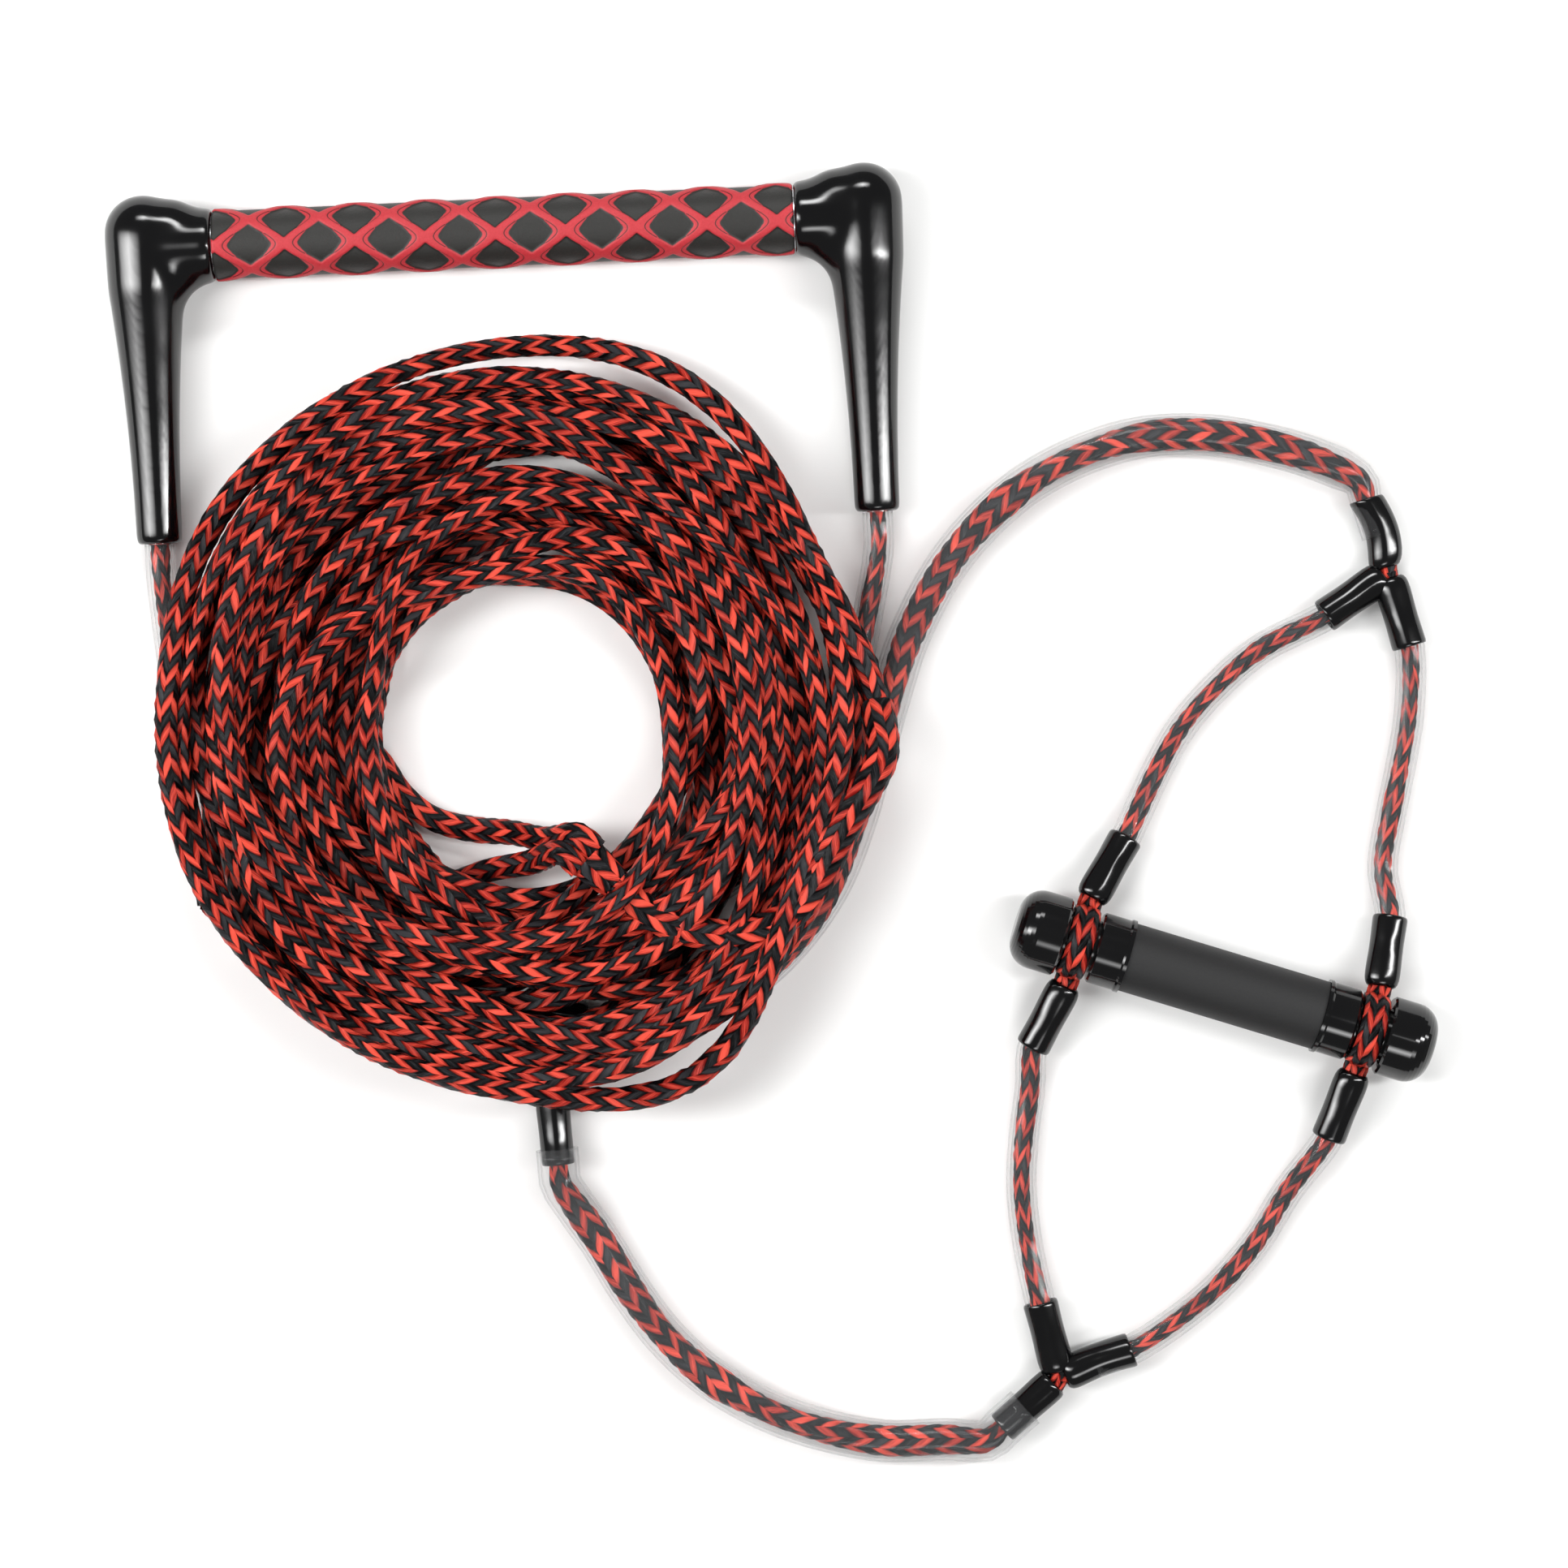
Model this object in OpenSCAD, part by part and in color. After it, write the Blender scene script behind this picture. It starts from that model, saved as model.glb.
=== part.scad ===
// Water-ski tow rope with a main handle, a short in-line handle and a coiled line.
// It lies flat on a surface at z = 0. +X runs along the main handle's bar, +Y points
// away from the rope, and the origin is on the surface, midway between the two handles.

/* [Main handle] */
// Width over the two end boots
handle_w = 305; // [290:1:330]
// From each side of the handle to the foam grip
grip_in = 42; // [40:0.5:56]
// Outside diameter of the aluminium bar
bar_d = 22.2; // [21:0.1:23]
// Thickness of the foam grip on the bar
grip_wall = 2.7; // [1.8:0.1:3.4]
// Wall of the aluminium bar
bar_wall = 1.6; // [1:0.1:2]
// Room between each end of the bar and the arm's axis, where the rope turns
turn_room = 17; // [16:0.5:19]
// Diameter of the boot collar on the bar
collar_d = 28.8; // [28:0.1:29.6]
// Diameter of the boot's rounded knuckle
knuckle_d = 30; // [29.6:0.1:33]
// How far the knuckle's centre stands past the bar's axis
knuckle_rise = 5.5; // [4:0.5:8]
// Wall of the boot round its hollow knuckle
boot_wall = 2.4; // [1.8:0.1:2.5]
// Length of a boot arm from the bar's axis to its mouth
arm_len = 113; // [100:1:125]
// Diameter of a boot arm at its mouth
arm_mouth_d = 17.8; // [16.6:0.1:19]
// Radius of the inner corner between collar and arm
corner_r = 13; // [8:0.5:14]
// Length of the plastic bush in each end of the bar
bush_len = 9; // [6:0.5:14]

/* [Short handle] */
// Length over the two end caps
short_len = 166; // [158:1:180]
// Length of each end cap
cap_len = 44.5; // [42:0.5:48]
// Diameter of the rubber grip
short_grip_d = 26.6; // [24:0.1:27]
// Diameter of the core tube
core_d = 15.9; // [14:0.1:17]
// Wall of the core tube
core_wall = 1.5; // [1:0.1:2.5]
// Solid end of each cap past the core tube
cap_end = 8.5; // [6:0.5:12]
// Wall of the cap under the rope loop
groove_wall = 2.2; // [1.8:0.1:2.6]
// How far the knob stands over the rope loop
knob_rise = 0.5; // [0.3:0.1:1.5]
// Length of the knob with its rounded end
knob_len = 19; // [16:0.5:22]
// Radius that rounds the knob's end
knob_round = 9; // [6:0.5:12]
// Diameter of the cap's collar beside the grip
cap_collar_d = 27.6; // [27:0.1:29]
// Height of the lip where the collar meets the grip
cap_lip = 0.5; // [0.3:0.1:1]
// Length of that lip
cap_lip_len = 1.4; // [1:0.1:2]
// Centre of the short handle, from the centre of the main bar
short_at = [261, -300];
// Turn of the short handle against the main bar
short_turn = -19.5; // [-22:0.5:-17]

/* [Rope and hoses] */
// Diameter of the rope
rope_d = 8.4; // [7:0.1:8.8]
// Diameter of the spliced rope, doubled by its buried tail
splice_d = 11; // [10:0.1:12]
// Wall of the clear hose on the bridle and the legs
hose_wall = 1.4; // [1:0.1:1.6]
// Wall of the clear hose on the two spliced lines
line_hose_wall = 1.2; // [1:0.1:1.5]
// Thickness of the rope where it is pressed flat round the short handle
loop_t = 4.2; // [3.6:0.1:4.6]
// Width of the rope there
loop_w = 11.3; // [10:0.1:12]

/* [Dipped boots on the rope] */
// Wall of a boot
boot_skin = 0.75; // [0.5:0.05:1]
// Length of a boot
boot_len = 26.5; // [24:0.5:30]
// How far a hose is pushed into its boot
hose_in = 15; // [10:0.5:18]
// How far the lower fork's boot is pushed into the line hose
fork_plug = 12; // [8:0.5:16]
// How far the coiled line's boot is pushed into the line hose
coil_plug = 6; // [4:0.5:12]
// Distance from a fork's centre to the near end of its boots
fork_gap = 3; // [2:0.5:6]

/* [Coil] */
// Number of whole loops, half of them in each of the two layers
coil_loops = 16; // [12:1:16]
// Radius of the innermost loop, across X
coil_in = 59; // [56:1:61]
// Length of the coil along Y as a share of its width
coil_oval = 1.07; // [1.04:0.01:1.1]
// Centre of the coil, from the centre of the main bar
coil_at = [0, -189];

/* [Fits] */
// Clearance between pieces that lie side by side
side_gap = 0.4; // [0.3:0.05:0.6]
// Clearance of the rope in a boot
rope_gap = 0.2; // [0.1:0.05:0.3]
// Clearance of the rope in its clear hose
hose_gap = 0.3; // [0.2:0.05:0.4]
// Clearance of the spliced rope in the line hose
line_gap = 1.5; // [1.2:0.1:1.8]
// Clearance of a tube in its seat
tube_gap = 0.05; // [0.02:0.01:0.1]
// Clearance of the short handle in its rope loops
turn_gap = 0.4; // [0.3:0.05:0.6]
// Clearance on each side of a rope loop in its groove
groove_gap = 0.65; // [0.5:0.05:1]
// Clearance between neighbouring loops of the coil
coil_gap = 0.6; // [0.55:0.05:0.8]

/* [Hidden] */
$fn = 48;

// Sides of a drawn rope or hose, and of the coil
sides = 8;
coil_sides = 6;

// ---------- sizes that follow ----------
bar_r = bar_d / 2;
grip_r = bar_r + grip_wall;
collar_r = collar_d / 2;
knuckle_r = knuckle_d / 2;
arm_x = handle_w / 2 - knuckle_r;
arm_mouth_r = arm_mouth_d / 2;
grip_len = handle_w - 2 * grip_in;
collar_x = grip_len / 2;
bar_end = arm_x - turn_room;
// The arms are straight past the collar, then taper. They slope down towards the surface,
// and the handle lies on the shoulders where the taper starts
arm_top_r = knuckle_r - 0.4;
arm_straight = collar_r + 1.5;
arm_slope = asin((knuckle_r - arm_mouth_r) / (arm_len + knuckle_rise));
bar_z = arm_top_r * cos(arm_slope) + arm_straight * sin(arm_slope);

rope_r = rope_d / 2;
splice_r = splice_d / 2;
hose_bore_r = rope_r + hose_gap;
hose_r = hose_bore_r + hose_wall;
line_bore_r = splice_r + line_gap;
line_hose_r = line_bore_r + line_hose_wall;
boot_r = hose_r + tube_gap + boot_skin;
// The bore of a hose is drawn with flats, and the boot fits between them
plug_r = line_bore_r * cos(180 / sides) - tube_gap;

core_r = core_d / 2;
groove_r = core_r + tube_gap + groove_wall;
groove_w = loop_w + 2 * groove_gap;
loop_in_r = groove_r + turn_gap;
loop_out_r = loop_in_r + loop_t;
knob_r = loop_out_r + knob_rise;
cap_collar_r = cap_collar_d / 2;
short_grip_len = short_len - 2 * cap_len;
core_reach = cap_len - cap_end;
groove_start = cap_len - knob_len - groove_w;
loop_s = short_grip_len / 2 + groove_start + groove_w / 2;

// Heights of the centres of what lies on the surface
short_z = knob_r;
rest_gap = 0.2;
boot_z = boot_r + rest_gap;
hose_z = hose_r + rest_gap;
line_hose_z = line_hose_r + rest_gap;
rope_z = rope_r + rest_gap;

// The origin lies midway between the outer edges of the two handles
short_reach = short_len / 2 - knob_round;
east = short_at[0] + short_reach * cos(short_turn) - (knob_r - knob_round) * sin(short_turn) + knob_round;
south = short_at[1] + short_reach * sin(short_turn) - (knob_r - knob_round) * cos(short_turn) - knob_round;
origin = [(east - handle_w / 2) / 2, (south + knuckle_rise * cos(arm_slope) + knuckle_r) / 2];

function unit(v) = v / norm(v);
function heading(angle, fall = 0) =
    [cos(angle) * cos(fall), sin(angle) * cos(fall), -sin(fall)];
function arm_point(side, distance) =
    [side * arm_x, 0, bar_z] + distance * heading(-90, arm_slope);
function short_point(s, across, z) = [
    short_at[0] + s * cos(short_turn) - across * sin(short_turn),
    short_at[1] + s * sin(short_turn) + across * cos(short_turn),
    z
];

// ---------- forks: three boots meet where a rope divides ----------
// Each fork is its centre and the headings of its line, left and right boots
bridle_fork = [[-12, -296, boot_z], [-12, 178, 40]];
upper_fork = [[332, -145, boot_z], [104, 212, 284]];
lower_fork = [[192, -447, line_hose_z], [219, 102, 18]];
fork_mouth = fork_gap + boot_len;
// A hose runs straight for a little way before its boot
straight = 7;
fork_hose_end = fork_mouth - hose_in;
function fork_point(fork, which, distance) = fork[0] + distance * heading(fork[1][which]);
// Half the angle from a boot to the next one, turning one way or the other
function half_to_next(fork, which, way) = min([
    for (other = fork[1])
        let (turn = ((other - fork[1][which]) * way + 720) % 360)
        turn > 0 ? turn / 2 : 90,
    88
]);

// ---------- boots beside the short handle ----------
// Each is its end of the handle (-1 left, 1 right), its side of the bar and its heading
upper_left = [-1, 1, 57];
upper_right = [1, 1, 78];
lower_left = [-1, -1, 240];
lower_right = [1, -1, 247];
loop_boot_fall = 10;
loop_boot_start = knob_r + 2.6;
loop_boot_drop = 2.4;
loop_hose_end = boot_len - hose_in;
function loop_root(b) = short_point(b[0] * loop_s, b[1] * loop_boot_start, short_z - loop_boot_drop);
function loop_boot_point(b, distance) = loop_root(b) + distance * heading(b[2], loop_boot_fall);

// ---------- the coil ----------
coil_start = 200;
coil_end = 5;
coil_steps = 24;
coil_turns = coil_loops + (coil_start - coil_end) / 360;
coil_rings = coil_turns * coil_steps;
coil_pitch = rope_d + coil_gap;
// The coil lies on the surface at its far side, and on the hoses at its near side
coil_lift = 2 * line_hose_r + rest_gap + side_gap;
coil_flat_arc = 35;
coil_ramp_arc = 37;

function smooth(t) = let (c = min(max(t, 0), 1)) c * c * (3 - 2 * c);
// Degrees between a direction and the coil's far side
function from_top(angle) = abs((angle + 90 + 3600) % 360 - 180);
function coil_base(angle) = coil_lift * smooth((from_top(angle) - coil_flat_arc) / coil_ramp_arc);
// The loops spiral in, climb a layer in half a turn, and spiral out again
function coil_point(turn) =
    let (angle = coil_start - 360 * turn, past = turn - coil_turns / 2)
    let (r = coil_in + coil_pitch * abs(past))
    [
        coil_at[0] + r * cos(angle),
        coil_at[1] + r * coil_oval * sin(angle),
        rope_z + coil_base(angle) + coil_pitch * smooth(2 * past + 0.5)
    ];
coil_loop_points = [for (i = [0:coil_rings]) coil_point(i / coil_steps)];
coil_in_dir = unit(coil_loop_points[1] - coil_loop_points[0]);
coil_out_dir = unit(coil_loop_points[coil_rings] - coil_loop_points[coil_rings - 1]);
coil_first = coil_loop_points[0] - rope_d * coil_in_dir;
coil_last = coil_loop_points[coil_rings] + rope_d * coil_out_dir;
coil_path = concat([coil_first], coil_loop_points, [coil_last]);
function coil_least_gap() = min([
    for (i = [0:coil_rings - coil_steps / 2])
        min([for (j = [i + coil_steps / 2:coil_rings]) norm(coil_loop_points[i] - coil_loop_points[j])])
]) - rope_d;

// ---------- routes of the cords, from the centre of the main bar ----------
function level(points, z) = [for (p = points) [p[0], p[1], z]];
left_bridle = concat(
    [arm_point(-1, arm_len), arm_point(-1, arm_len + 13)],
    level([[-136, -150], [-133, -175], [-126, -202], [-112, -231], [-95, -256], [-76, -278], [-57, -291]], hose_z),
    [fork_point(bridle_fork, 1, fork_mouth), fork_point(bridle_fork, 1, fork_hose_end)]
);
right_bridle = concat(
    [arm_point(1, arm_len), arm_point(1, arm_len + 13)],
    level([
        [133, -148], [128, -168], [121, -187], [112, -206], [101, -226],
        [86, -243], [66, -256], [44, -264], [24, -268]
    ], hose_z),
    [fork_point(bridle_fork, 2, fork_mouth), fork_point(bridle_fork, 2, fork_hose_end)]
);
upper_line = concat(
    [for (d = [fork_hose_end, fork_mouth, fork_mouth + straight]) fork_point(bridle_fork, 0, d)],
    level([
        [44, -305], [66, -298], [92, -280], [112, -256], [124, -230], [132, -205], [140, -181],
        [148, -160], [165, -132], [189, -109], [213, -96], [239, -89], [264, -89], [288, -94], [308, -101]
    ], line_hose_z),
    [for (d = [fork_mouth + straight, fork_mouth, fork_hose_end]) fork_point(upper_fork, 0, d)]
);
upper_left_leg = concat(
    [fork_point(upper_fork, 1, fork_hose_end), fork_point(upper_fork, 1, fork_mouth)],
    level([[282, -172], [263, -187], [250, -201], [240, -217]], hose_z),
    [loop_boot_point(upper_left, boot_len), loop_boot_point(upper_left, loop_hose_end)]
);
upper_right_leg = concat(
    [fork_point(upper_fork, 2, fork_hose_end), fork_point(upper_fork, 2, fork_mouth)],
    level([[338, -198], [334, -218], [329, -238], [325, -258]], hose_z),
    [loop_boot_point(upper_right, boot_len), loop_boot_point(upper_right, loop_hose_end)]
);
lower_left_leg = concat(
    [loop_boot_point(lower_left, loop_hose_end), loop_boot_point(lower_left, boot_len)],
    level([[186, -336], [183, -353], [181, -372], [182, -393]], hose_z),
    [fork_point(lower_fork, 1, fork_mouth), fork_point(lower_fork, 1, fork_hose_end)]
);
lower_right_leg = concat(
    [loop_boot_point(lower_right, loop_hose_end), loop_boot_point(lower_right, boot_len)],
    level([[283, -380], [270, -399], [254, -416], [238, -428]], hose_z),
    [fork_point(lower_fork, 2, fork_mouth), fork_point(lower_fork, 2, fork_hose_end)]
);
// The boot where the coiled line comes out, from its mouth to its narrow end
coil_boot_at = [4, -357, line_hose_z];
coil_boot_turn = 93;
function coil_boot_point(distance) = coil_boot_at + distance * heading(coil_boot_turn);
lower_line = concat(
    [for (d = [fork_mouth - fork_plug, fork_mouth, fork_mouth + straight]) fork_point(lower_fork, 0, d)],
    level([
        [147, -469], [124, -468.5], [100, -463], [78, -454], [58, -441], [42, -425],
        [29, -406], [18.5, -387], [9.5, -373]
    ], line_hose_z),
    [for (d = [-straight, 0, coil_plug]) coil_boot_point(d)]
);
lower_line_inner = [for (i = [1:len(lower_line) - 2]) lower_line[i]];
lead_route = concat(
    [coil_boot_at, coil_boot_point(boot_len)],
    [
        [-1, -318, rope_z], [-10, -311, rope_z], [-25, -309, rope_z], [-45, -308, rope_z],
        [-67, -303, rope_z], [-88, -290, rope_z + 3.6], [-107, -271, rope_z + 9.6]
    ],
    [coil_first - 12 * coil_in_dir, coil_first]
);
coil_top = rope_z + coil_lift + coil_pitch;
over_coil = coil_top + rope_r + splice_r + coil_gap;
splice_turn = 135;
splice_len = 14;
eye_splice_at = [32, -250, over_coil + 1.2];
eye_side = rope_r + 0.2;
function splice_point(distance, across = 0) =
    eye_splice_at + distance * heading(splice_turn) + across * heading(splice_turn + 90);
end_route = concat(
    [coil_last, coil_last + 10 * coil_out_dir],
    [
        [134.5, -206, coil_top + 5.2], [127.5, -219, over_coil], [120, -231, over_coil], [113, -243, over_coil],
        [104, -258, over_coil], [90, -268, over_coil], [74, -271, over_coil], [57, -268, over_coil]
    ],
    [splice_point(-12), splice_point(0)]
);
eye_route = concat(
    [splice_point(splice_len, -eye_side), splice_point(splice_len + 8, -eye_side)],
    [
        [6, -232, 26], [-8, -229, 14], [-24, -227, 6], [-39, -222, rope_z],
        [-50, -212, rope_z], [-58, -199, rope_z], [-68, -190, rope_z], [-81, -190, rope_z],
        [-89, -202, rope_z], [-87, -219, rope_z], [-75, -235, rope_z], [-57, -246, rope_z],
        [-36, -248, rope_z], [-17, -243, 8], [-2, -241, 18]
    ],
    [splice_point(splice_len + 8, eye_side), splice_point(splice_len, eye_side)]
);

// ---------- sweeping a section along a route ----------
function before(p, i) = i > 0 ? p[i - 1] : 2 * p[0] - p[1];
function after(p, i) = let (n = len(p) - 1) i < n ? p[i + 1] : 2 * p[n] - p[n - 1];
// A radius is one number, or a list that is read inwards from both ends
function radius_at(r, i, n) = is_list(r) ? r[min(i, n - i, len(r) - 1)] : r;
function ring(path, i, r, count) =
    let (ahead = unit(after(path, i) - before(path, i)))
    let (across = unit(cross(ahead, [0, 0, 1])), up = cross(across, ahead))
    [for (k = [0:count - 1])
        path[i] + r * (cos((k + 0.5) * 360 / count) * across + sin((k + 0.5) * 360 / count) * up)];
function wall_faces(first, step, rings, count, outward) = [
    for (i = [0:rings - 1], k = [0:count - 1])
        let (a = first + i * step + k, b = first + i * step + (k + 1) % count)
        for (face = [[a, b, a + step], [b, b + step, a + step]])
            outward ? face : [face[2], face[1], face[0]]
];

module cord(path, r, count = sides) {
    n = len(path) - 1;
    last = n * count;
    near_cap = [for (k = [1:count - 2]) [0, k + 1, k]];
    far_cap = [for (k = [1:count - 2]) [last, last + k, last + k + 1]];
    polyhedron(
        [for (i = [0:n]) each ring(path, i, radius_at(r, i, n), count)],
        concat(near_cap, far_cap, wall_faces(0, count, n, count, true)),
        convexity = 10
    );
}

module hose(path, r, thick) {
    n = len(path) - 1;
    step = 2 * sides;
    last = n * step;
    rims = [
        for (a = [0:sides - 1])
            let (b = (a + 1) % sides)
            for (face = [
                [a, a + sides, b], [b, a + sides, b + sides],
                [last + a, last + b, last + a + sides], [last + b, last + b + sides, last + a + sides]
            ]) face
    ];
    polyhedron(
        [for (i = [0:n]) each concat(
            ring(path, i, radius_at(r, i, n), sides),
            ring(path, i, radius_at(r, i, n) - thick, sides)
        )],
        concat(wall_faces(0, step, n, sides, true), wall_faces(sides, step, n, sides, false), rims),
        convexity = 10
    );
}

// Moves what is drawn round the main bar to the model's own origin
module place() translate([-origin[0], -origin[1], 0]) children();
// Turns the Z axis along a heading, from a point
module along(from, angle, fall = 0)
    translate(from) rotate([0, 0, angle]) rotate([0, 90 + fall, 0]) children();
module tube(length, r, bore_r) difference() {
    cylinder(h = length, r = r, center = true);
    cylinder(h = length + 2, r = bore_r, center = true);
}

// ---------- main handle ----------
module on_bar(x = 0) place() translate([x, 0, bar_z]) rotate([0, 90, 0]) children();
module main_bar_tube() color("silver") on_bar() tube(2 * bar_end, bar_r, bar_r - bar_wall);
module main_grip() color("#c8383c") on_bar() tube(grip_len - 2 * tube_gap, grip_r, bar_r + tube_gap);

// A plastic bush keeps the rope off the bar's cut edge
flange_t = 1;
module bar_bush(side) color("dimgray") on_bar(side * bar_end) mirror([0, 0, side < 0 ? 1 : 0])
    difference() {
        union() {
            translate([0, 0, -bush_len]) cylinder(h = bush_len + flange_t, r = bar_r - bar_wall - tube_gap);
            translate([0, 0, tube_gap]) cylinder(h = flange_t - tube_gap, r = bar_r - bar_wall / 4);
        }
        translate([0, 0, -bush_len - 1]) cylinder(h = bush_len + flange_t + 2, r = rope_r + rope_gap);
    }
module left_bar_bush() bar_bush(-1);
module right_bar_bush() bar_bush(1);

// Radius of an arm at a distance from the bar's axis
function arm_r(y) = arm_mouth_r
    + (arm_top_r - arm_mouth_r) * pow(1 - max(y - arm_straight, 0) / (arm_len - arm_straight), 2.4);
mouth_round = 2.4;
taper_len = arm_len - mouth_round - arm_straight;
arm_steps = 8;
module arm_profile() polygon(concat(
    [[0, -knuckle_rise], [arm_top_r, -knuckle_rise]],
    [for (i = [0:arm_steps]) let (y = arm_straight + i / arm_steps * taper_len) [arm_r(y), y]],
    [for (a = [15:15:90]) [arm_mouth_r - mouth_round * (1 - cos(a)), arm_len - mouth_round * (1 - sin(a))]],
    [[0, arm_len]]
));

// The rounded inner corner, sunk a little into the collar and the arm
corner_y = collar_r + corner_r;
corner_x = arm_x - arm_r(corner_y) - corner_r + 0.6;
web_x = max(corner_x, collar_x + tube_gap);
web_t = corner_r * 1.2;
module corner_web() difference() {
    translate([web_x, -corner_y, -web_t / 2]) cube([arm_x - web_x, corner_y, web_t]);
    translate([corner_x, -corner_y, -web_t]) cylinder(h = 2 * web_t, r = corner_r + 0.3);
}

// A boot is drawn for the right end, with its arm along -Y, and mirrored for the left
seat_end = bar_end + flange_t + 2 * tube_gap;
hollow_r = knuckle_r - boot_wall;
module end_boot(side) color("#151515") place() translate([0, 0, bar_z])
    mirror([side < 0 ? 1 : 0, 0, 0]) rotate([arm_slope, 0, 0]) difference() {
        union() {
            translate([arm_x, knuckle_rise, 0]) sphere(r = knuckle_r);
            translate([arm_x, 0, 0]) rotate([90, 0, 0]) rotate_extrude() arm_profile();
            translate([collar_x + tube_gap, 0, 0]) rotate([0, 90, 0])
                cylinder(h = arm_x - collar_x, r = collar_r);
            corner_web();
        }
        // Seat of the bar, then the rope's way through the hollow knuckle and down the arm
        translate([collar_x - 1, 0, 0]) rotate([0, 90, 0])
            cylinder(h = seat_end - collar_x + 1, r = bar_r + tube_gap);
        translate([bar_end, 0, 0]) rotate([0, 90, 0])
            cylinder(h = arm_x - bar_end - hollow_r / 2, r = hose_r + tube_gap);
        translate([arm_x, 0, 0]) sphere(r = hollow_r);
        translate([arm_x, -hollow_r / 2, 0]) rotate([90, 0, 0]) cylinder(h = arm_len, r = hose_r + tube_gap);
    }
module left_end_boot() end_boot(-1);
module right_end_boot() end_boot(1);

// The clear hose goes on up inside the arm
sleeve_len = arm_len - knuckle_r - 10;
module arm_sleeve(side) color("whitesmoke", 0.5) place()
    along(arm_point(side, arm_len - sleeve_len / 2), -90, arm_slope) tube(sleeve_len, hose_r, hose_bore_r);
module left_arm_sleeve() arm_sleeve(-1);
module right_arm_sleeve() arm_sleeve(1);

// The rope turns from the arm into the bar on a quarter circle
turn_r = turn_room - flange_t - 0.5;
function arm_rope(side) = concat(
    [arm_point(side, arm_len), arm_point(side, arm_len / 2)],
    [for (a = [0:15:90]) arm_point(side, turn_r * (1 - sin(a))) - [side * turn_r * (1 - cos(a)), 0, 0]]
);
function reversed(points) = [for (i = [len(points) - 1:-1:0]) points[i]];
module handle_rope() color("#8a2620") place() cord(concat(arm_rope(-1), reversed(arm_rope(1))), rope_r);

// ---------- hoses with the rope inside ----------
module clear_hose(path) color("whitesmoke", 0.5) place() hose(path, hose_r, hose_wall);
module rope(path, r = rope_r) color("#8a2620") place() cord(path, r);
module left_bridle_hose() clear_hose(left_bridle);
module left_bridle_rope() rope(left_bridle);
module right_bridle_hose() clear_hose(right_bridle);
module right_bridle_rope() rope(right_bridle);
module upper_left_leg_hose() clear_hose(upper_left_leg);
module upper_left_leg_rope() rope(upper_left_leg);
module upper_right_leg_hose() clear_hose(upper_right_leg);
module upper_right_leg_rope() rope(upper_right_leg);
module lower_left_leg_hose() clear_hose(lower_left_leg);
module lower_left_leg_rope() rope(lower_left_leg);
module lower_right_leg_hose() clear_hose(lower_right_leg);
module lower_right_leg_rope() rope(lower_right_leg);
// The wide hose is drawn in where its ends go into boots
module upper_line_hose() color("whitesmoke", 0.5) place()
    hose(upper_line, [hose_r, hose_r, hose_r, line_hose_r], line_hose_wall);
module upper_line_rope() rope(upper_line, [rope_r, rope_r, rope_r, splice_r]);
module lower_line_hose() color("whitesmoke", 0.5) place() hose(lower_line, line_hose_r, line_hose_wall);
module lower_line_rope() rope(lower_line_inner, [rope_r, rope_r, splice_r]);

// ---------- dipped boots on the rope ----------
module boot_body(r) {
    taper = 1.4;
    translate([0, 0, taper]) cylinder(h = boot_len - taper, r = r);
    cylinder(h = taper, r1 = r - taper, r2 = r);
}
module hose_boot() difference() {
    boot_body(boot_r);
    translate([0, 0, -1]) cylinder(h = boot_len + 2, r = rope_r + rope_gap);
    translate([0, 0, boot_len - hose_in - tube_gap]) cylinder(h = boot_len, r = hose_r + tube_gap);
}
module plug_boot() difference() {
    boot_body(plug_r);
    translate([0, 0, -1]) cylinder(h = boot_len + 2, r = rope_r + rope_gap);
}

// A fork's boot stays on its own side of the planes halfway to its neighbours
module fork_boot(fork, which) {
    angle = fork[1][which];
    low = half_to_next(fork, which, -1);
    high = half_to_next(fork, which, 1);
    far = 2 * boot_len;
    color("#151515") place() intersection() {
        along(fork_point(fork, which, fork_gap), angle) children();
        translate(fork[0] + side_gap / 2 / sin(min(low, high)) * heading(angle) - [0, 0, 2 * boot_r])
            linear_extrude(height = 4 * boot_r) polygon([
                [0, 0],
                far * [cos(angle - low), sin(angle - low)],
                2 * far * [cos(angle), sin(angle)],
                far * [cos(angle + high), sin(angle + high)]
            ]);
    }
}
// The bare crotch of the rope between the boots
module fork_splice(fork, line_len) color("#8a2620") place() {
    cord([fork_point(fork, 0, line_len), fork[0], fork_point(fork, 1, fork_hose_end)], rope_r);
    cord([fork[0], fork_point(fork, 2, fork_hose_end)], rope_r);
}
module bridle_fork_line_boot() fork_boot(bridle_fork, 0) hose_boot();
module bridle_fork_left_boot() fork_boot(bridle_fork, 1) hose_boot();
module bridle_fork_right_boot() fork_boot(bridle_fork, 2) hose_boot();
module bridle_fork_splice() fork_splice(bridle_fork, fork_hose_end);
module upper_fork_line_boot() fork_boot(upper_fork, 0) hose_boot();
module upper_fork_left_boot() fork_boot(upper_fork, 1) hose_boot();
module upper_fork_right_boot() fork_boot(upper_fork, 2) hose_boot();
module upper_fork_splice() fork_splice(upper_fork, fork_hose_end);
module lower_fork_line_boot() fork_boot(lower_fork, 0) plug_boot();
module lower_fork_left_boot() fork_boot(lower_fork, 1) hose_boot();
module lower_fork_right_boot() fork_boot(lower_fork, 2) hose_boot();
module lower_fork_splice() fork_splice(lower_fork, fork_mouth);
module coil_boot() color("#151515") place()
    along(coil_boot_point(boot_len), coil_boot_turn + 180) plug_boot();

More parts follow.
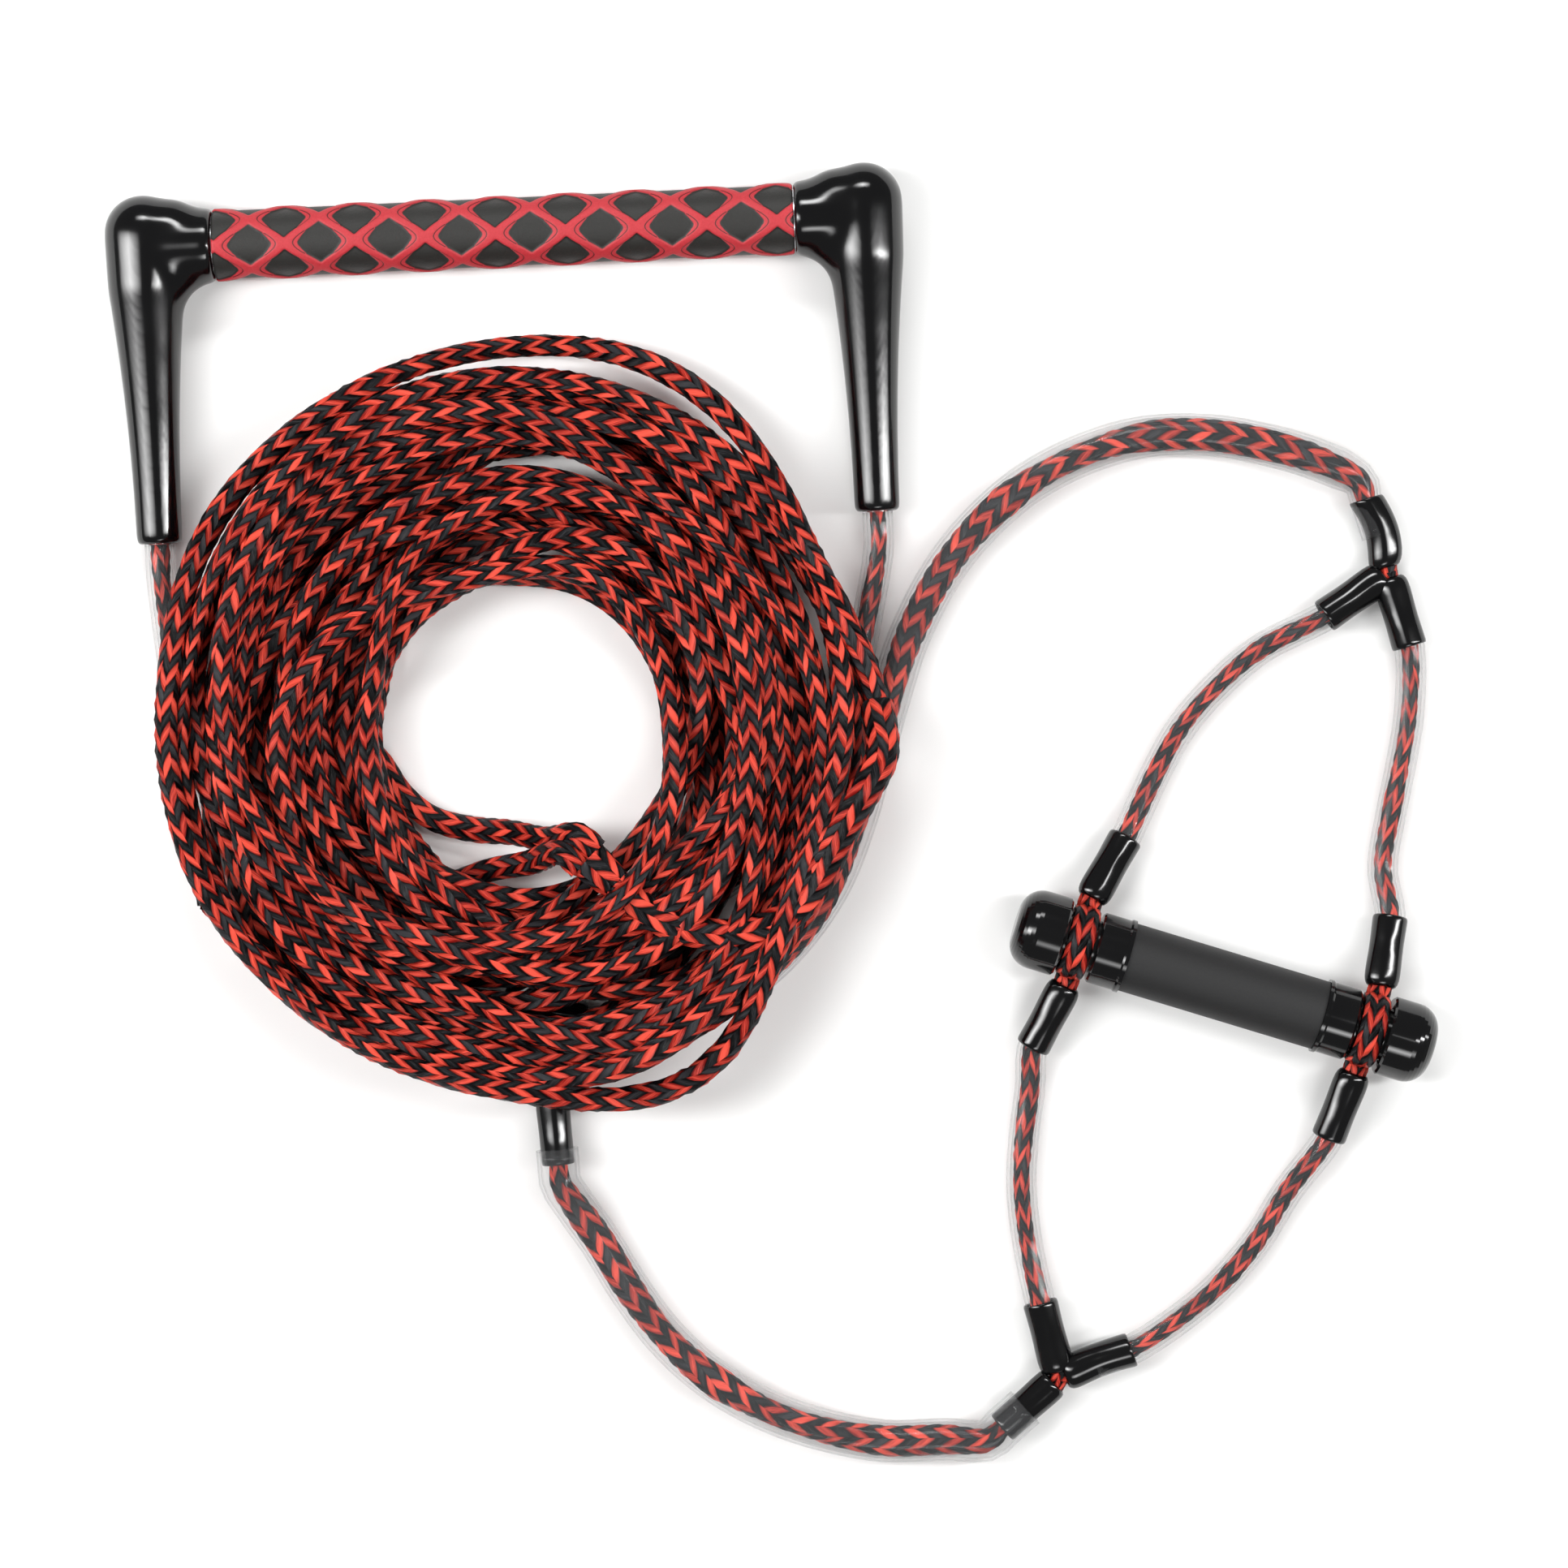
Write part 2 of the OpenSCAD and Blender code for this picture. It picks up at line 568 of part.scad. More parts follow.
module loop_boot(b) color("#151515") place() along(loop_root(b), b[2], loop_boot_fall) hose_boot();
module upper_left_loop_boot() loop_boot(upper_left);
module upper_right_loop_boot() loop_boot(upper_right);
module lower_left_loop_boot() loop_boot(lower_left);
module lower_right_loop_boot() loop_boot(lower_right);

// ---------- short handle and the rope loops that hold it ----------
module on_short(s = 0) place() translate(short_point(s, 0, short_z))
    rotate([0, 0, short_turn]) rotate([0, 90, 0]) children();
module short_core_tube() color("silver") on_short()
    tube(short_grip_len + 2 * core_reach, core_r, core_r - core_wall);
module short_grip() color("#2d2d2e") on_short()
    tube(short_grip_len - 2 * tube_gap, short_grip_d / 2, core_r + tube_gap);

edge = 0.8;
module cap_profile() polygon(concat(
    [
        [core_r + tube_gap, tube_gap], [cap_collar_r + cap_lip, tube_gap],
        [cap_collar_r + cap_lip, cap_lip_len], [cap_collar_r, cap_lip_len + edge],
        [cap_collar_r, groove_start - edge], [cap_collar_r - edge, groove_start],
        [groove_r, groove_start], [groove_r, groove_start + groove_w],
        [knob_r - edge, groove_start + groove_w], [knob_r, groove_start + groove_w + edge]
    ],
    [for (a = [0:10:90]) [
        knob_r - knob_round * (1 - cos(a)),
        cap_len - knob_round * (1 - sin(a))
    ]],
    [[0, cap_len], [0, core_reach + tube_gap], [core_r + tube_gap, core_reach + tube_gap]]
));
module short_cap(end) color("#151515") on_short(end * short_grip_len / 2)
    mirror([0, 0, end < 0 ? 1 : 0]) rotate_extrude($fn = 64) cap_profile();
module short_left_cap() short_cap(-1);
module short_right_cap() short_cap(1);

// The rope is pressed flat in the groove, and its two strands join into the boots' necks
neck_r = loop_out_r - 1.6;
module neck(b) cord([
    short_point(b[0] * loop_s, b[1] * neck_r, short_z - loop_boot_drop),
    loop_root(b),
    loop_boot_point(b, loop_hose_end)
], rope_r);
loop_edge = loop_t / 3;
loop_half = loop_w / 2;
module rope_loop(end, upper, lower) color("#8a2620") {
    on_short(end * loop_s) rotate_extrude() polygon([
        [loop_in_r + loop_edge, -loop_half], [loop_out_r - loop_edge, -loop_half],
        [loop_out_r, loop_edge - loop_half], [loop_out_r, loop_half - loop_edge],
        [loop_out_r - loop_edge, loop_half], [loop_in_r + loop_edge, loop_half],
        [loop_in_r, loop_half - loop_edge], [loop_in_r, loop_edge - loop_half]
    ]);
    place() neck(upper);
    place() neck(lower);
}
module left_rope_loop() rope_loop(-1, upper_left, lower_left);
module right_rope_loop() rope_loop(1, upper_right, lower_right);

// ---------- coiled line and boat end ----------
module line_lead() rope(lead_route);
module rope_coil() {
    echo(least_gap_of_coil_to_itself_mm = coil_least_gap(), coil_rings = coil_rings);
    color("#8a2620") place() cord(coil_path, rope_r, coil_sides);
}
module line_end() rope(end_route, [rope_r, rope_r, splice_r]);
module eye_splice() color("#8a2620") place() along(splice_point(0), splice_turn) {
    cylinder(h = splice_len / 2, r1 = splice_r, r2 = 2 * eye_side);
    translate([0, 0, splice_len / 2]) cylinder(h = splice_len / 2, r = 2 * eye_side);
}
module boat_eye() rope(eye_route);

main_bar_tube();
main_grip();
left_bar_bush();
right_bar_bush();
left_end_boot();
right_end_boot();
left_arm_sleeve();
right_arm_sleeve();
handle_rope();
left_bridle_hose();
left_bridle_rope();
right_bridle_hose();
right_bridle_rope();
bridle_fork_line_boot();
bridle_fork_left_boot();
bridle_fork_right_boot();
bridle_fork_splice();
upper_line_hose();
upper_line_rope();
upper_fork_line_boot();
upper_fork_left_boot();
upper_fork_right_boot();
upper_fork_splice();
upper_left_leg_hose();
upper_left_leg_rope();
upper_right_leg_hose();
upper_right_leg_rope();
lower_left_leg_hose();
lower_left_leg_rope();
lower_right_leg_hose();
lower_right_leg_rope();
upper_left_loop_boot();
upper_right_loop_boot();
lower_left_loop_boot();
lower_right_loop_boot();
left_rope_loop();
right_rope_loop();
short_core_tube();
short_grip();
short_left_cap();
short_right_cap();
lower_fork_line_boot();
lower_fork_left_boot();
lower_fork_right_boot();
lower_fork_splice();
lower_line_hose();
lower_line_rope();
coil_boot();
line_lead();
rope_coil();
line_end();
eye_splice();
boat_eye();
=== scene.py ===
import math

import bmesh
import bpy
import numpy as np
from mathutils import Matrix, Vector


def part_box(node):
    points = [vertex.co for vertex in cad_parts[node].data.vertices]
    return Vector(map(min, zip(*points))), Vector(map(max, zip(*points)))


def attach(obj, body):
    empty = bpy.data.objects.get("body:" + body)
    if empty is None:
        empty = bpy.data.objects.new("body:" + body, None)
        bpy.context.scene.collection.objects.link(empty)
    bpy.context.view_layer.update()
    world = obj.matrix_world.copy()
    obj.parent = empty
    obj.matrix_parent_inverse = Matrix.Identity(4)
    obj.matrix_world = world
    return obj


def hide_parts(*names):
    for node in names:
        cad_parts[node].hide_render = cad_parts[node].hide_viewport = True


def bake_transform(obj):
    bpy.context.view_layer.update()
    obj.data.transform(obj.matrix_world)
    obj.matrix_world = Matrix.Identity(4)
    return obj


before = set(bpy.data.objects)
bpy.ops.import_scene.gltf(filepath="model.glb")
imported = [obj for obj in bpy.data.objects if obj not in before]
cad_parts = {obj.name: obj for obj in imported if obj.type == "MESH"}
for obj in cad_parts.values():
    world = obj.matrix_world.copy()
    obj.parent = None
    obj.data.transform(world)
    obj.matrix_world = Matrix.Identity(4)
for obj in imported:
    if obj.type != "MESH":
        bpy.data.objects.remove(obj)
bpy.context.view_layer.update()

# %% [markdown]
# # A water-ski tow rope, laid out flat
# The object is mostly rope: a wide foam-grip handle, a bridle in clear hose, a short
# handle that turns in two rope loops, and a long line coiled beside them. The packed
# model gives every hard piece its place. This lesson gives the soft pieces their braid,
# the hoses their clear walls and the dipped boots their gloss.

MM = 0.001
# The wide handle's foam grip gives the middle of the bar that it sits on
grip_low, grip_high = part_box("main_grip")
BAR = (Vector(grip_low) + Vector(grip_high)) / 2


def from_bar(points):
    """Millimetres measured from the middle of the main bar, at floor height, to metres."""
    return np.asarray(points, float) * MM + np.array([BAR.x, BAR.y, 0.0])


print("the main bar's middle is at", [round(c, 4) for c in BAR])

# %% [markdown]
# ## The camera
# The photograph was taken from straight above, slightly turned, with a long lens. The
# frame is a square of about 600 mm. A lens of 100 mm on a 36 mm sensor shows that from
# 1.66 m up, with hardly any perspective.

# %% Camera
PHOTO_WIDTH = 598.9 * MM
LENS, SENSOR = 100.0, 36.0
PHOTO_TURN = math.radians(-2.63)
# What the middle of the picture shows, in millimetres from the main bar
PHOTO_MIDDLE = [97.0, -215.3, 14.0]
camera_data = bpy.data.cameras.new("camera")
camera_data.lens = LENS
camera_data.sensor_width = SENSOR
camera = bpy.data.objects.new("camera", camera_data)
bpy.context.scene.collection.objects.link(camera)
look_at = from_bar(PHOTO_MIDDLE)
camera.location = look_at + np.array([0, 0, PHOTO_WIDTH * LENS / SENSOR])
camera.rotation_euler = (0, 0, PHOTO_TURN)
bpy.context.scene.camera = camera
print("camera height", round(camera.location.z, 3), "m")

# %% [markdown]
# ## Lines through points
# A rope bends smoothly, so a few points and a smooth line through them say where it
# lies. The line is then measured off in even steps, because a braid repeats by length.

# %% Smooth lines


def smooth_line(points, step):
    """A smooth line through points, cut into even steps of about the given length."""
    p = np.asarray(points, float)
    p = np.vstack([2 * p[0] - p[1], p, 2 * p[-1] - p[-2]])
    gaps = np.sqrt(np.linalg.norm(np.diff(p, axis=0), axis=1))
    t = np.concatenate([[0], np.cumsum(gaps)])
    out = []
    for i in range(1, len(p) - 2):
        s = np.linspace(t[i], t[i + 1], 24, endpoint=False)[:, None]
        a = [
            (t[j + 1] - s) / (t[j + 1] - t[j]) * p[j] + (s - t[j]) / (t[j + 1] - t[j]) * p[j + 1]
            for j in (i - 1, i, i + 1)
        ]
        b = [
            (t[j + 2] - s) / (t[j + 2] - t[j]) * a[k] + (s - t[j]) / (t[j + 2] - t[j]) * a[k + 1]
            for k, j in enumerate((i - 1, i))
        ]
        out.append(
            (t[i + 1] - s) / (t[i + 1] - t[i]) * b[0] + (s - t[i]) / (t[i + 1] - t[i]) * b[1]
        )
    return even_steps(np.vstack(out + [p[-2:-1]]), step)


def lengths_along(line):
    """How far along a line each of its points lies."""
    return np.concatenate([[0], np.cumsum(np.linalg.norm(np.diff(line, axis=0), axis=1))])


def even_steps(line, step):
    """The same line, cut into even steps of about the given length."""
    along = lengths_along(line)
    marks = np.linspace(0, along[-1], max(3, int(round(along[-1] / step)) + 1))
    return np.stack([np.interp(marks, along, line[:, k]) for k in range(3)], 1)


def frames_along(line):
    """At each point of a line: its direction, the level direction across it, and up."""
    ahead = np.gradient(line, axis=0)
    ahead /= np.linalg.norm(ahead, axis=1)[:, None]
    across = np.cross(ahead, [0, 0, 1])
    across /= np.linalg.norm(across, axis=1)[:, None]
    return ahead, across, np.cross(across, ahead)


def new_object(name, points, faces, uvs=None):
    """A mesh from points and faces, with doubles merged and open ends closed."""
    mesh = bpy.data.meshes.new(name)
    mesh.from_pydata([tuple(p) for p in points], [], [tuple(map(int, f)) for f in faces])
    if uvs is not None:
        layer = mesh.uv_layers.new(name="braid")
        layer.data.foreach_set("uv", np.asarray(uvs, np.float32).ravel())
    bm = bmesh.new()
    bm.from_mesh(mesh)
    bmesh.ops.remove_doubles(bm, verts=bm.verts, dist=1e-6)
    bmesh.ops.dissolve_degenerate(bm, edges=bm.edges, dist=1e-7)
    bmesh.ops.holes_fill(bm, edges=[e for e in bm.edges if e.is_boundary], sides=0)
    for f in bm.faces:
        f.smooth = True
    bm.to_mesh(mesh)
    bm.free()
    obj = bpy.data.objects.new(name, mesh)
    bpy.context.scene.collection.objects.link(obj)
    return obj


sample = smooth_line([(0, 0, 0), (10, 0, 0), (10, 10, 0)], 1.0)
print("a corner of 10 + 10 mm is rounded to", round(lengths_along(sample)[-1], 1), "mm")

# %% [markdown]
# ## The braid
# The rope is a hollow polypropylene braid. Its yarns show as slanting floats in eight
# columns round the rope, leaning left and right by turns, so that neighbours meet in
# chevrons. Red and black floats follow each other, 5.8 mm each. A plain tube with a bump
# pattern would keep a straight outline. So the mesh is laid along the floats instead: each
# ring of points runs in a zigzag, every float swells on its own faces, and the outline of
# the rope is knobbly, as the real one is. The UV map counts floats along the rope and
# columns round it.

# %% Braided rope
COLUMNS = 8
FLOAT = 5.8 * MM
SWELL = 0.6 * MM
# How much of the swell the edge between two columns keeps
EDGE_SWELL = 0.3
# Neighbouring columns are out of step, so that the tips of their floats interlock
OUT_OF_STEP = 0.38


def even_angles(wide, high, count):
    """Angles that divide an ellipse's edge into even lengths."""
    fine = np.linspace(0, 2 * np.pi, 721)
    edge = np.hypot(np.diff(wide * np.cos(fine)), np.diff(high * np.sin(fine)))
    along = np.concatenate([[0], np.cumsum(edge)])
    return np.interp((np.arange(count) + 0.5) / count * along[-1], along, fine)


def braided_rope(name, line, half_wide, half_high, roll=0.0, first=0.0, frames=None,
                 rings_per_float=3, twist=0.0):
    """A flattened braid along a line. Half sizes, roll and twist may vary along it."""
    count = len(line)
    along = lengths_along(line)
    full = lambda v: np.full(count, v, float) if np.isscalar(v) else np.asarray(v, float)
    half_wide, half_high, roll = full(half_wide), full(half_high), full(roll)
    across, up = frames or frames_along(line)[1:]
    c, s = np.cos(roll)[:, None], np.sin(roll)[:, None]
    across, up = across * c + up * s, up * c - across * s
    sides = 2 * COLUMNS
    side = np.arange(sides)
    column, place = side // 2, (side % 2) / 2
    lean = np.where(column % 2 == 0, place, 1 - place)
    rings = int((along[-1] / FLOAT + 1) * rings_per_float) + 2
    ring = np.arange(rings)
    reach = (ring[:, None] / rings_per_float - lean[None, :]) * FLOAT
    u = np.clip(reach, 0, along[-1])
    at = lambda values: np.stack([np.interp(u, along, values[:, k]) for k in range(3)], -1)
    angle = even_angles(half_wide.mean(), half_high.mean(), sides)
    shift = OUT_OF_STEP * (column % 2)
    part = (ring[:, None] / rings_per_float + shift[None, :]) % 1
    swell = SWELL * (4 * part * (1 - part)) ** 0.6 * np.where(place > 0, 1.0, EDGE_SWELL)[None, :]
    angle = angle[None, :] + np.interp(u, along, full(twist))
    wide = np.interp(u, along, half_wide) - SWELL + swell
    high = np.interp(u, along, half_high) - SWELL + swell
    points = (
        at(line)
        + at(across) * (wide * np.cos(angle))[..., None]
        + at(up) * (high * np.sin(angle))[..., None]
    )
    uv_u = u / FLOAT + lean + first  # so many floats from the start of the rope
    faces, uvs = [], []
    for i in range(rings - 1):
        for j in range(sides):
            k = (j + 1) % sides
            faces.append((i * sides + j, i * sides + k, (i + 1) * sides + k, (i + 1) * sides + j))
            v, d = j / 2, shift[j]
            uvs += [
                (uv_u[i, j] + d, v), (uv_u[i, k] + d, v + 0.5),
                (uv_u[i + 1, k] + d, v + 0.5), (uv_u[i + 1, j] + d, v),
            ]
    obj = new_object(name, points.reshape(-1, 3), faces, uvs)
    print(name, "is", round(along[-1], 3), "m long,", len(obj.data.polygons), "faces")
    return obj


# %% [markdown]
# ## The routes of the hoses
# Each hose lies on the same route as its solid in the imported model. The points are
# millimetres from the middle of the main bar, at floor height: x to the right, y away
# from the rope and z up. A narrow hose that lies on the floor has its middle 6.1 mm up,
# and a wide one 8.4 mm.

# %% Routes of the hoses
LEFT_BRIDLE = [
    (-137.5, -112.85, 9.6), (-137.5, -125.8, 8.9), (-136, -150, 6.1), (-133, -175, 6.1),
    (-126, -202, 6.1), (-112, -231, 6.1), (-95, -256, 6.1), (-76, -278, 6.1),
    (-57, -291, 6.1), (-41.5, -295, 6.9), (-26.5, -295.5, 6.9),
]
RIGHT_BRIDLE = [
    (137.5, -112.85, 9.6), (137.5, -125.8, 8.9), (133, -148, 6.1), (128, -168, 6.1),
    (121, -187, 6.1), (112, -206, 6.1), (101, -226, 6.1), (86, -243, 6.1),
    (66, -256, 6.1), (44, -264, 6.1), (24, -268, 6.1), (10.6, -277, 6.9), (-0.9, -286.7, 6.9),
]
UPPER_LINE = [
    (2.2, -299, 6.9), (16.9, -302.1, 6.9), (23.7, -303.6, 6.9), (44, -305, 8.4), (66, -298, 8.4),
    (92, -280, 8.4), (112, -256, 8.4), (124, -230, 8.4), (132, -205, 8.4), (140, -181, 8.4),
    (148, -160, 8.4), (165, -132, 8.4), (189, -109, 8.4), (213, -96, 8.4), (239, -89, 8.4),
    (264, -89, 8.4),
    (288, -94, 8.4), (308, -101, 8.4), (323.2, -109.6, 6.9), (324.9, -116.4, 6.9),
    (328.5, -130.9, 6.9),
]
UPPER_LEFT_LEG = [
    (319.7, -152.7, 6.9), (307, -160.6, 6.9), (282, -172, 6.1), (263, -187, 6.1),
    (250, -201, 6.1), (240, -217, 6.1), (226.8, -242, 8.3), (218.8, -254.4, 10.9),
]
UPPER_RIGHT_LEG = [
    (335.5, -159.1, 6.9), (339.1, -173.6, 6.9), (338, -198, 6.1), (334, -218, 6.1),
    (329, -238, 6.1), (325, -258, 6.1), (326.8, -276.9, 8.3), (323.7, -291.3, 10.9),
]
LOWER_LEFT_LEG = [
    (195, -307.4, 10.9), (187.6, -320.2, 8.3), (186, -336, 6.1), (183, -353, 6.1),
    (181, -372, 6.1), (182, -393, 6.1), (185.9, -418.1, 8.4), (189, -432.8, 8.4),
]
LOWER_RIGHT_LEG = [
    (305, -346.6, 10.9), (299.2, -360.2, 8.3), (283, -380, 6.1), (270, -399, 6.1),
    (254, -416, 6.1), (238, -428, 6.1), (220.1, -437.9, 8.4), (205.8, -442.5, 8.4),
]
LOWER_LINE = [
    (178.4, -458, 8.4), (169.1, -465.6, 8.4), (163.6, -470, 8.4), (147, -469, 8.4),
    (124, -468.5, 8.4), (100, -463, 8.4), (78, -454, 8.4), (58, -441, 8.4), (42, -425, 8.4),
    (29, -406, 8.4), (18.5, -387, 8.4), (9.5, -373, 8.4), (4.4, -364, 8.4), (4, -357, 8.4),
    (3.7, -351, 8.4),
]
print("the upper line has", len(UPPER_LINE), "points, the lower line", len(LOWER_LINE))

# %% [markdown]
# ## The routes of the bare rope
# Three stretches of rope have no hose. The lead runs from the last boot into the coil.
# The end of the line lies over the coil and goes on, through its splice, as an eye. Bare
# rope rests 4.4 mm up on the floor, and climbs where it crosses what lies below it.

# %% Routes of the bare rope
LEAD = [
    (4, -357, 8.4), (2.6, -330.5, 8.4), (-1, -318, 4.4), (-10, -311, 4.4), (-25, -309, 4.4),
    (-45, -308, 4.4), (-67, -303, 4.4), (-88, -290, 8), (-107, -271, 14),
    (-121.5, -257.8, 21.4), (-123.8, -246.1, 21.4),
]
LINE_END = [
    (134.7, -184.8, 30.4), (136.8, -194.5, 30.4), (134.5, -206, 35.6), (127.5, -219, 40.7),
    (120, -231, 40.7), (113, -243, 40.7), (104, -258, 40.7), (90, -268, 40.7),
    (74, -271, 40.7), (57, -268, 40.7), (40.5, -258.5, 41.9), (32, -250, 41.9),
]
EYE = [
    (25.2, -237, 41.9), (19.6, -231.3, 41.9), (6, -232, 26), (-8, -229, 14), (-24, -227, 6),
    (-39, -222, 4.4), (-50, -212, 4.4), (-58, -199, 4.4), (-68, -190, 4.4), (-81, -190, 4.4),
    (-89, -202, 4.4), (-87, -219, 4.4), (-75, -235, 4.4), (-57, -246, 4.4), (-36, -248, 4.4),
    (-17, -243, 8), (-2, -241, 18), (13.3, -237.6, 41.9), (19, -243.2, 41.9),
]
print("the eye has", len(EYE), "points")

# %% [markdown]
# ## The rings of the coil
# The line was coiled by hand, so its loops cross. Seen from above, each loop is an uneven
# ring round the hole, given by its distance from the middle at each angle. The rope
# wanders between the hole's edge and the outer edge, and a few waves of different
# lengths keep one loop from following the next. The last loop and a half lies on top in
# full view, so its outline is read from the photograph.

# %% Rings of the coil
COIL_MIDDLE = np.array([0.0, -189.0])
COIL_LONG = 1.06
STEPS = 60
PLAIN_LOOPS = 22
HOLE_EDGE = [(0, 56), (90, 55), (180, 60.5), (270, 62.5), (360, 56)]
PLAIN_EDGE = [
    (0, 127), (38, 118), (59, 123), (85, 125), (107, 122), (145, 128), (175, 131), (215, 132),
    (250, 122), (280, 127), (297, 127), (330, 124), (360, 127),
]


def plain_radius(turn, angle):
    """Distance of the rope from the coil's middle while it is wound in and out."""
    # In and out once in 4.37 loops, and three quicker waves on top of that
    share = 1.02 * 2 * abs((turn / 4.37) % 1 - 0.5) - 0.01
    share += (
        0.16 * math.sin(2 * math.pi * 1.38 * turn)
        + 0.09 * math.sin(2 * math.pi * 2.27 * turn + 1)
    )
    share += 0.04 * math.sin(2 * math.pi * 3.71 * turn + 2)
    share = min(max(share, 0.0), 1.0)
    inner, outer = (np.interp(angle % 360, *zip(*edge)) for edge in (HOLE_EDGE, PLAIN_EDGE))
    return inner + (outer - inner) * share


# The last loop: degrees after its start, and millimetres from the middle
OUTER_RADII = [
    (0, 121), (20, 117), (35, 117), (43, 120), (52, 132), (61, 143), (68, 146), (75, 141),
    (84, 131), (100, 127), (130, 130), (160, 134), (180, 135), (200, 136), (215, 141),
    (228, 138), (240, 134), (255, 135), (272, 136), (289, 142), (303, 138), (319, 130),
    (328, 124), (338, 122), (346, 126), (354, 134), (363, 138),
]
# Where the lead comes in: the angle, the distance, and how soon it joins the ring
START_ANGLE = 205.0
START_RADIUS = 135.5
JOIN_STEPS = 14
turns_plain = np.arange(0, PLAIN_LOOPS * STEPS) / STEPS
angle_plain = START_ANGLE - 360 * turns_plain
radius_plain = np.array([plain_radius(t, a) for t, a in zip(turns_plain, angle_plain)])
to_last = (angle_plain[-1] % 360)
angle_last = np.arange(360 / STEPS, to_last + 363 + 1e-6, 360 / STEPS)
last_marks, last_radii = zip(*OUTER_RADII)
radius_last = np.interp(angle_last - to_last, last_marks, last_radii)
lead_in = np.clip(angle_last / to_last, 0, 1)
radius_last = radius_plain[-1] * (1 - lead_in) + radius_last * lead_in
coil_angle = np.radians(np.concatenate([angle_plain, angle_plain[-1] - angle_last]))
coil_radius = np.concatenate([radius_plain, radius_last])
kernel = np.hanning(9) / np.hanning(9).sum()
coil_radius = np.convolve(np.pad(coil_radius, 4, mode="edge"), kernel, "valid")
first_join = np.clip(1 - np.arange(len(coil_radius)) / JOIN_STEPS, 0, 1)
coil_radius = coil_radius * (1 - first_join) + START_RADIUS * first_join
coil_xy = np.stack([
    COIL_MIDDLE[0] + coil_radius * np.cos(coil_angle),
    COIL_MIDDLE[1] + coil_radius * COIL_LONG * np.sin(coil_angle),
], 1)
print("coil:", round((coil_angle[0] - coil_angle[-1]) / 2 / math.pi, 1), "loops")

# %% [markdown]
# ## Laying the coil down
# A simulation could drop the rope, but it would settle differently each time. Here the
# rope is laid down in order instead, as by hand: every new stretch rests on the floor,
# the hoses or the loops that are already there, and it climbs and falls no faster than a
# real rope can.

# %% Lay it down
# Half the rope's width and height, in millimetres
ROPE_WIDE, ROPE_HIGH = 5.0, 3.5
# How near another stretch has to pass to be lain on, and how far that lifts the rope
REST_WIDE, REST_HIGH = 8.8, 6.2
# The steepest climb, as height over length
SLOPE = 0.28


def limit_slope(z, spacing):
    """Raises a height line until it climbs and falls no faster than a rope can."""
    out = z.copy()
    for k in range(1, len(out)):
        out[k] = max(out[k], out[k - 1] - SLOPE * spacing[k - 1])
    for k in range(len(out) - 2, -1, -1):
        out[k] = max(out[k], out[k + 1] - SLOPE * spacing[k])
    return out


def lay(xy, under, own_reach=14, chunk=20):
    """Heights of a rope laid over what is under it, and then over itself."""
    below = [np.asarray(under, float)]
    z = np.zeros(len(xy))
    spacing = np.linalg.norm(np.diff(xy, axis=0), axis=1)
    for start in range(0, len(xy), chunk):
        part = np.arange(start, min(start + chunk, len(xy)))
        known = np.vstack(below)
        limit = max(0, start - own_reach)
        own = np.column_stack([
            xy[:limit], z[:limit], np.full(limit, REST_WIDE), np.full(limit, REST_HIGH)
        ])
        rest = np.vstack([known, own])
        d = np.linalg.norm(xy[part][:, None, :] - rest[None, :, :2], axis=2) / rest[:, 3]
        top = rest[:, 2] + rest[:, 4] * np.sqrt(np.clip(1 - d**2, 0, 1))
        z[part] = np.maximum(ROPE_HIGH, np.where(d < 1, top, 0).max(axis=1))
        back = max(0, start - 30)
        z[back:part[-1] + 1] = limit_slope(z[back:part[-1] + 1], spacing[back:part[-1]])
    z = limit_slope(z, spacing)
    soft = np.hanning(7) / np.hanning(7).sum()
    return np.convolve(np.pad(z, 3, mode="edge"), soft, "valid")


def as_support(route, radius):
    """What a hose or rope that lies below the coil adds to the ground: place and size."""
    line = smooth_line(route, 4.0)
    wide = np.full(len(line), radius + ROPE_WIDE - 1)
    return np.column_stack([line, wide, np.full(len(line), radius + ROPE_HIGH)])


supports = np.vstack([
    as_support(LEFT_BRIDLE, 6), as_support(RIGHT_BRIDLE, 6), as_support(UPPER_LINE, 8.2),
    as_support(LEAD, 3.6), as_support(EYE[5:16], 3.6),
])
coil_z = lay(coil_xy, supports)
coil_line = even_steps(np.column_stack([coil_xy, coil_z]), 3.0)
print("coil height", round(coil_z.min(), 1), "to", round(coil_z.max(), 1), "mm; length",
      round(lengths_along(coil_line)[-1] / 1000, 2), "m")

# %% [markdown]
# ## Colours and finishes
# Colours are written as the hex values that a picture editor shows, and turned to the
# linear values that the renderer adds up. A material is a tree of nodes, and one small
# function adds a node with its settings and its links.

# %% Colour and node helpers


def colour(hex_value):
    """An sRGB hex colour as linear red, green, blue and alpha."""
    parts = [int(hex_value[i:i + 2], 16) / 255 for i in (1, 3, 5)]
    linear = [c / 12.92 if c <= 0.04045 else ((c + 0.055) / 1.055) ** 2.4 for c in parts]
    return (*linear, 1.0)


def add_node(tree, kind, settings=None, inputs=None):
    """Adds a node, sets its properties, and sets or links its inputs."""
    node = tree.nodes.new(kind)
    for key, value in (settings or {}).items():
        setattr(node, key, value)
    for key, value in (inputs or {}).items():
        if isinstance(value, bpy.types.NodeSocket):
            tree.links.new(value, node.inputs[key])
        else:
            node.inputs[key].default_value = value
    return node


def new_material(name):
    """A material with its node tree and its main shader."""
    material = bpy.data.materials.new(name)
    material.use_nodes = True
    tree = material.node_tree
    return material, tree, tree.nodes["Principled BSDF"]


def dress(obj, material):
    """Gives a piece one material in place of what it had."""
    obj.data.materials.clear()
    obj.data.materials.append(material)


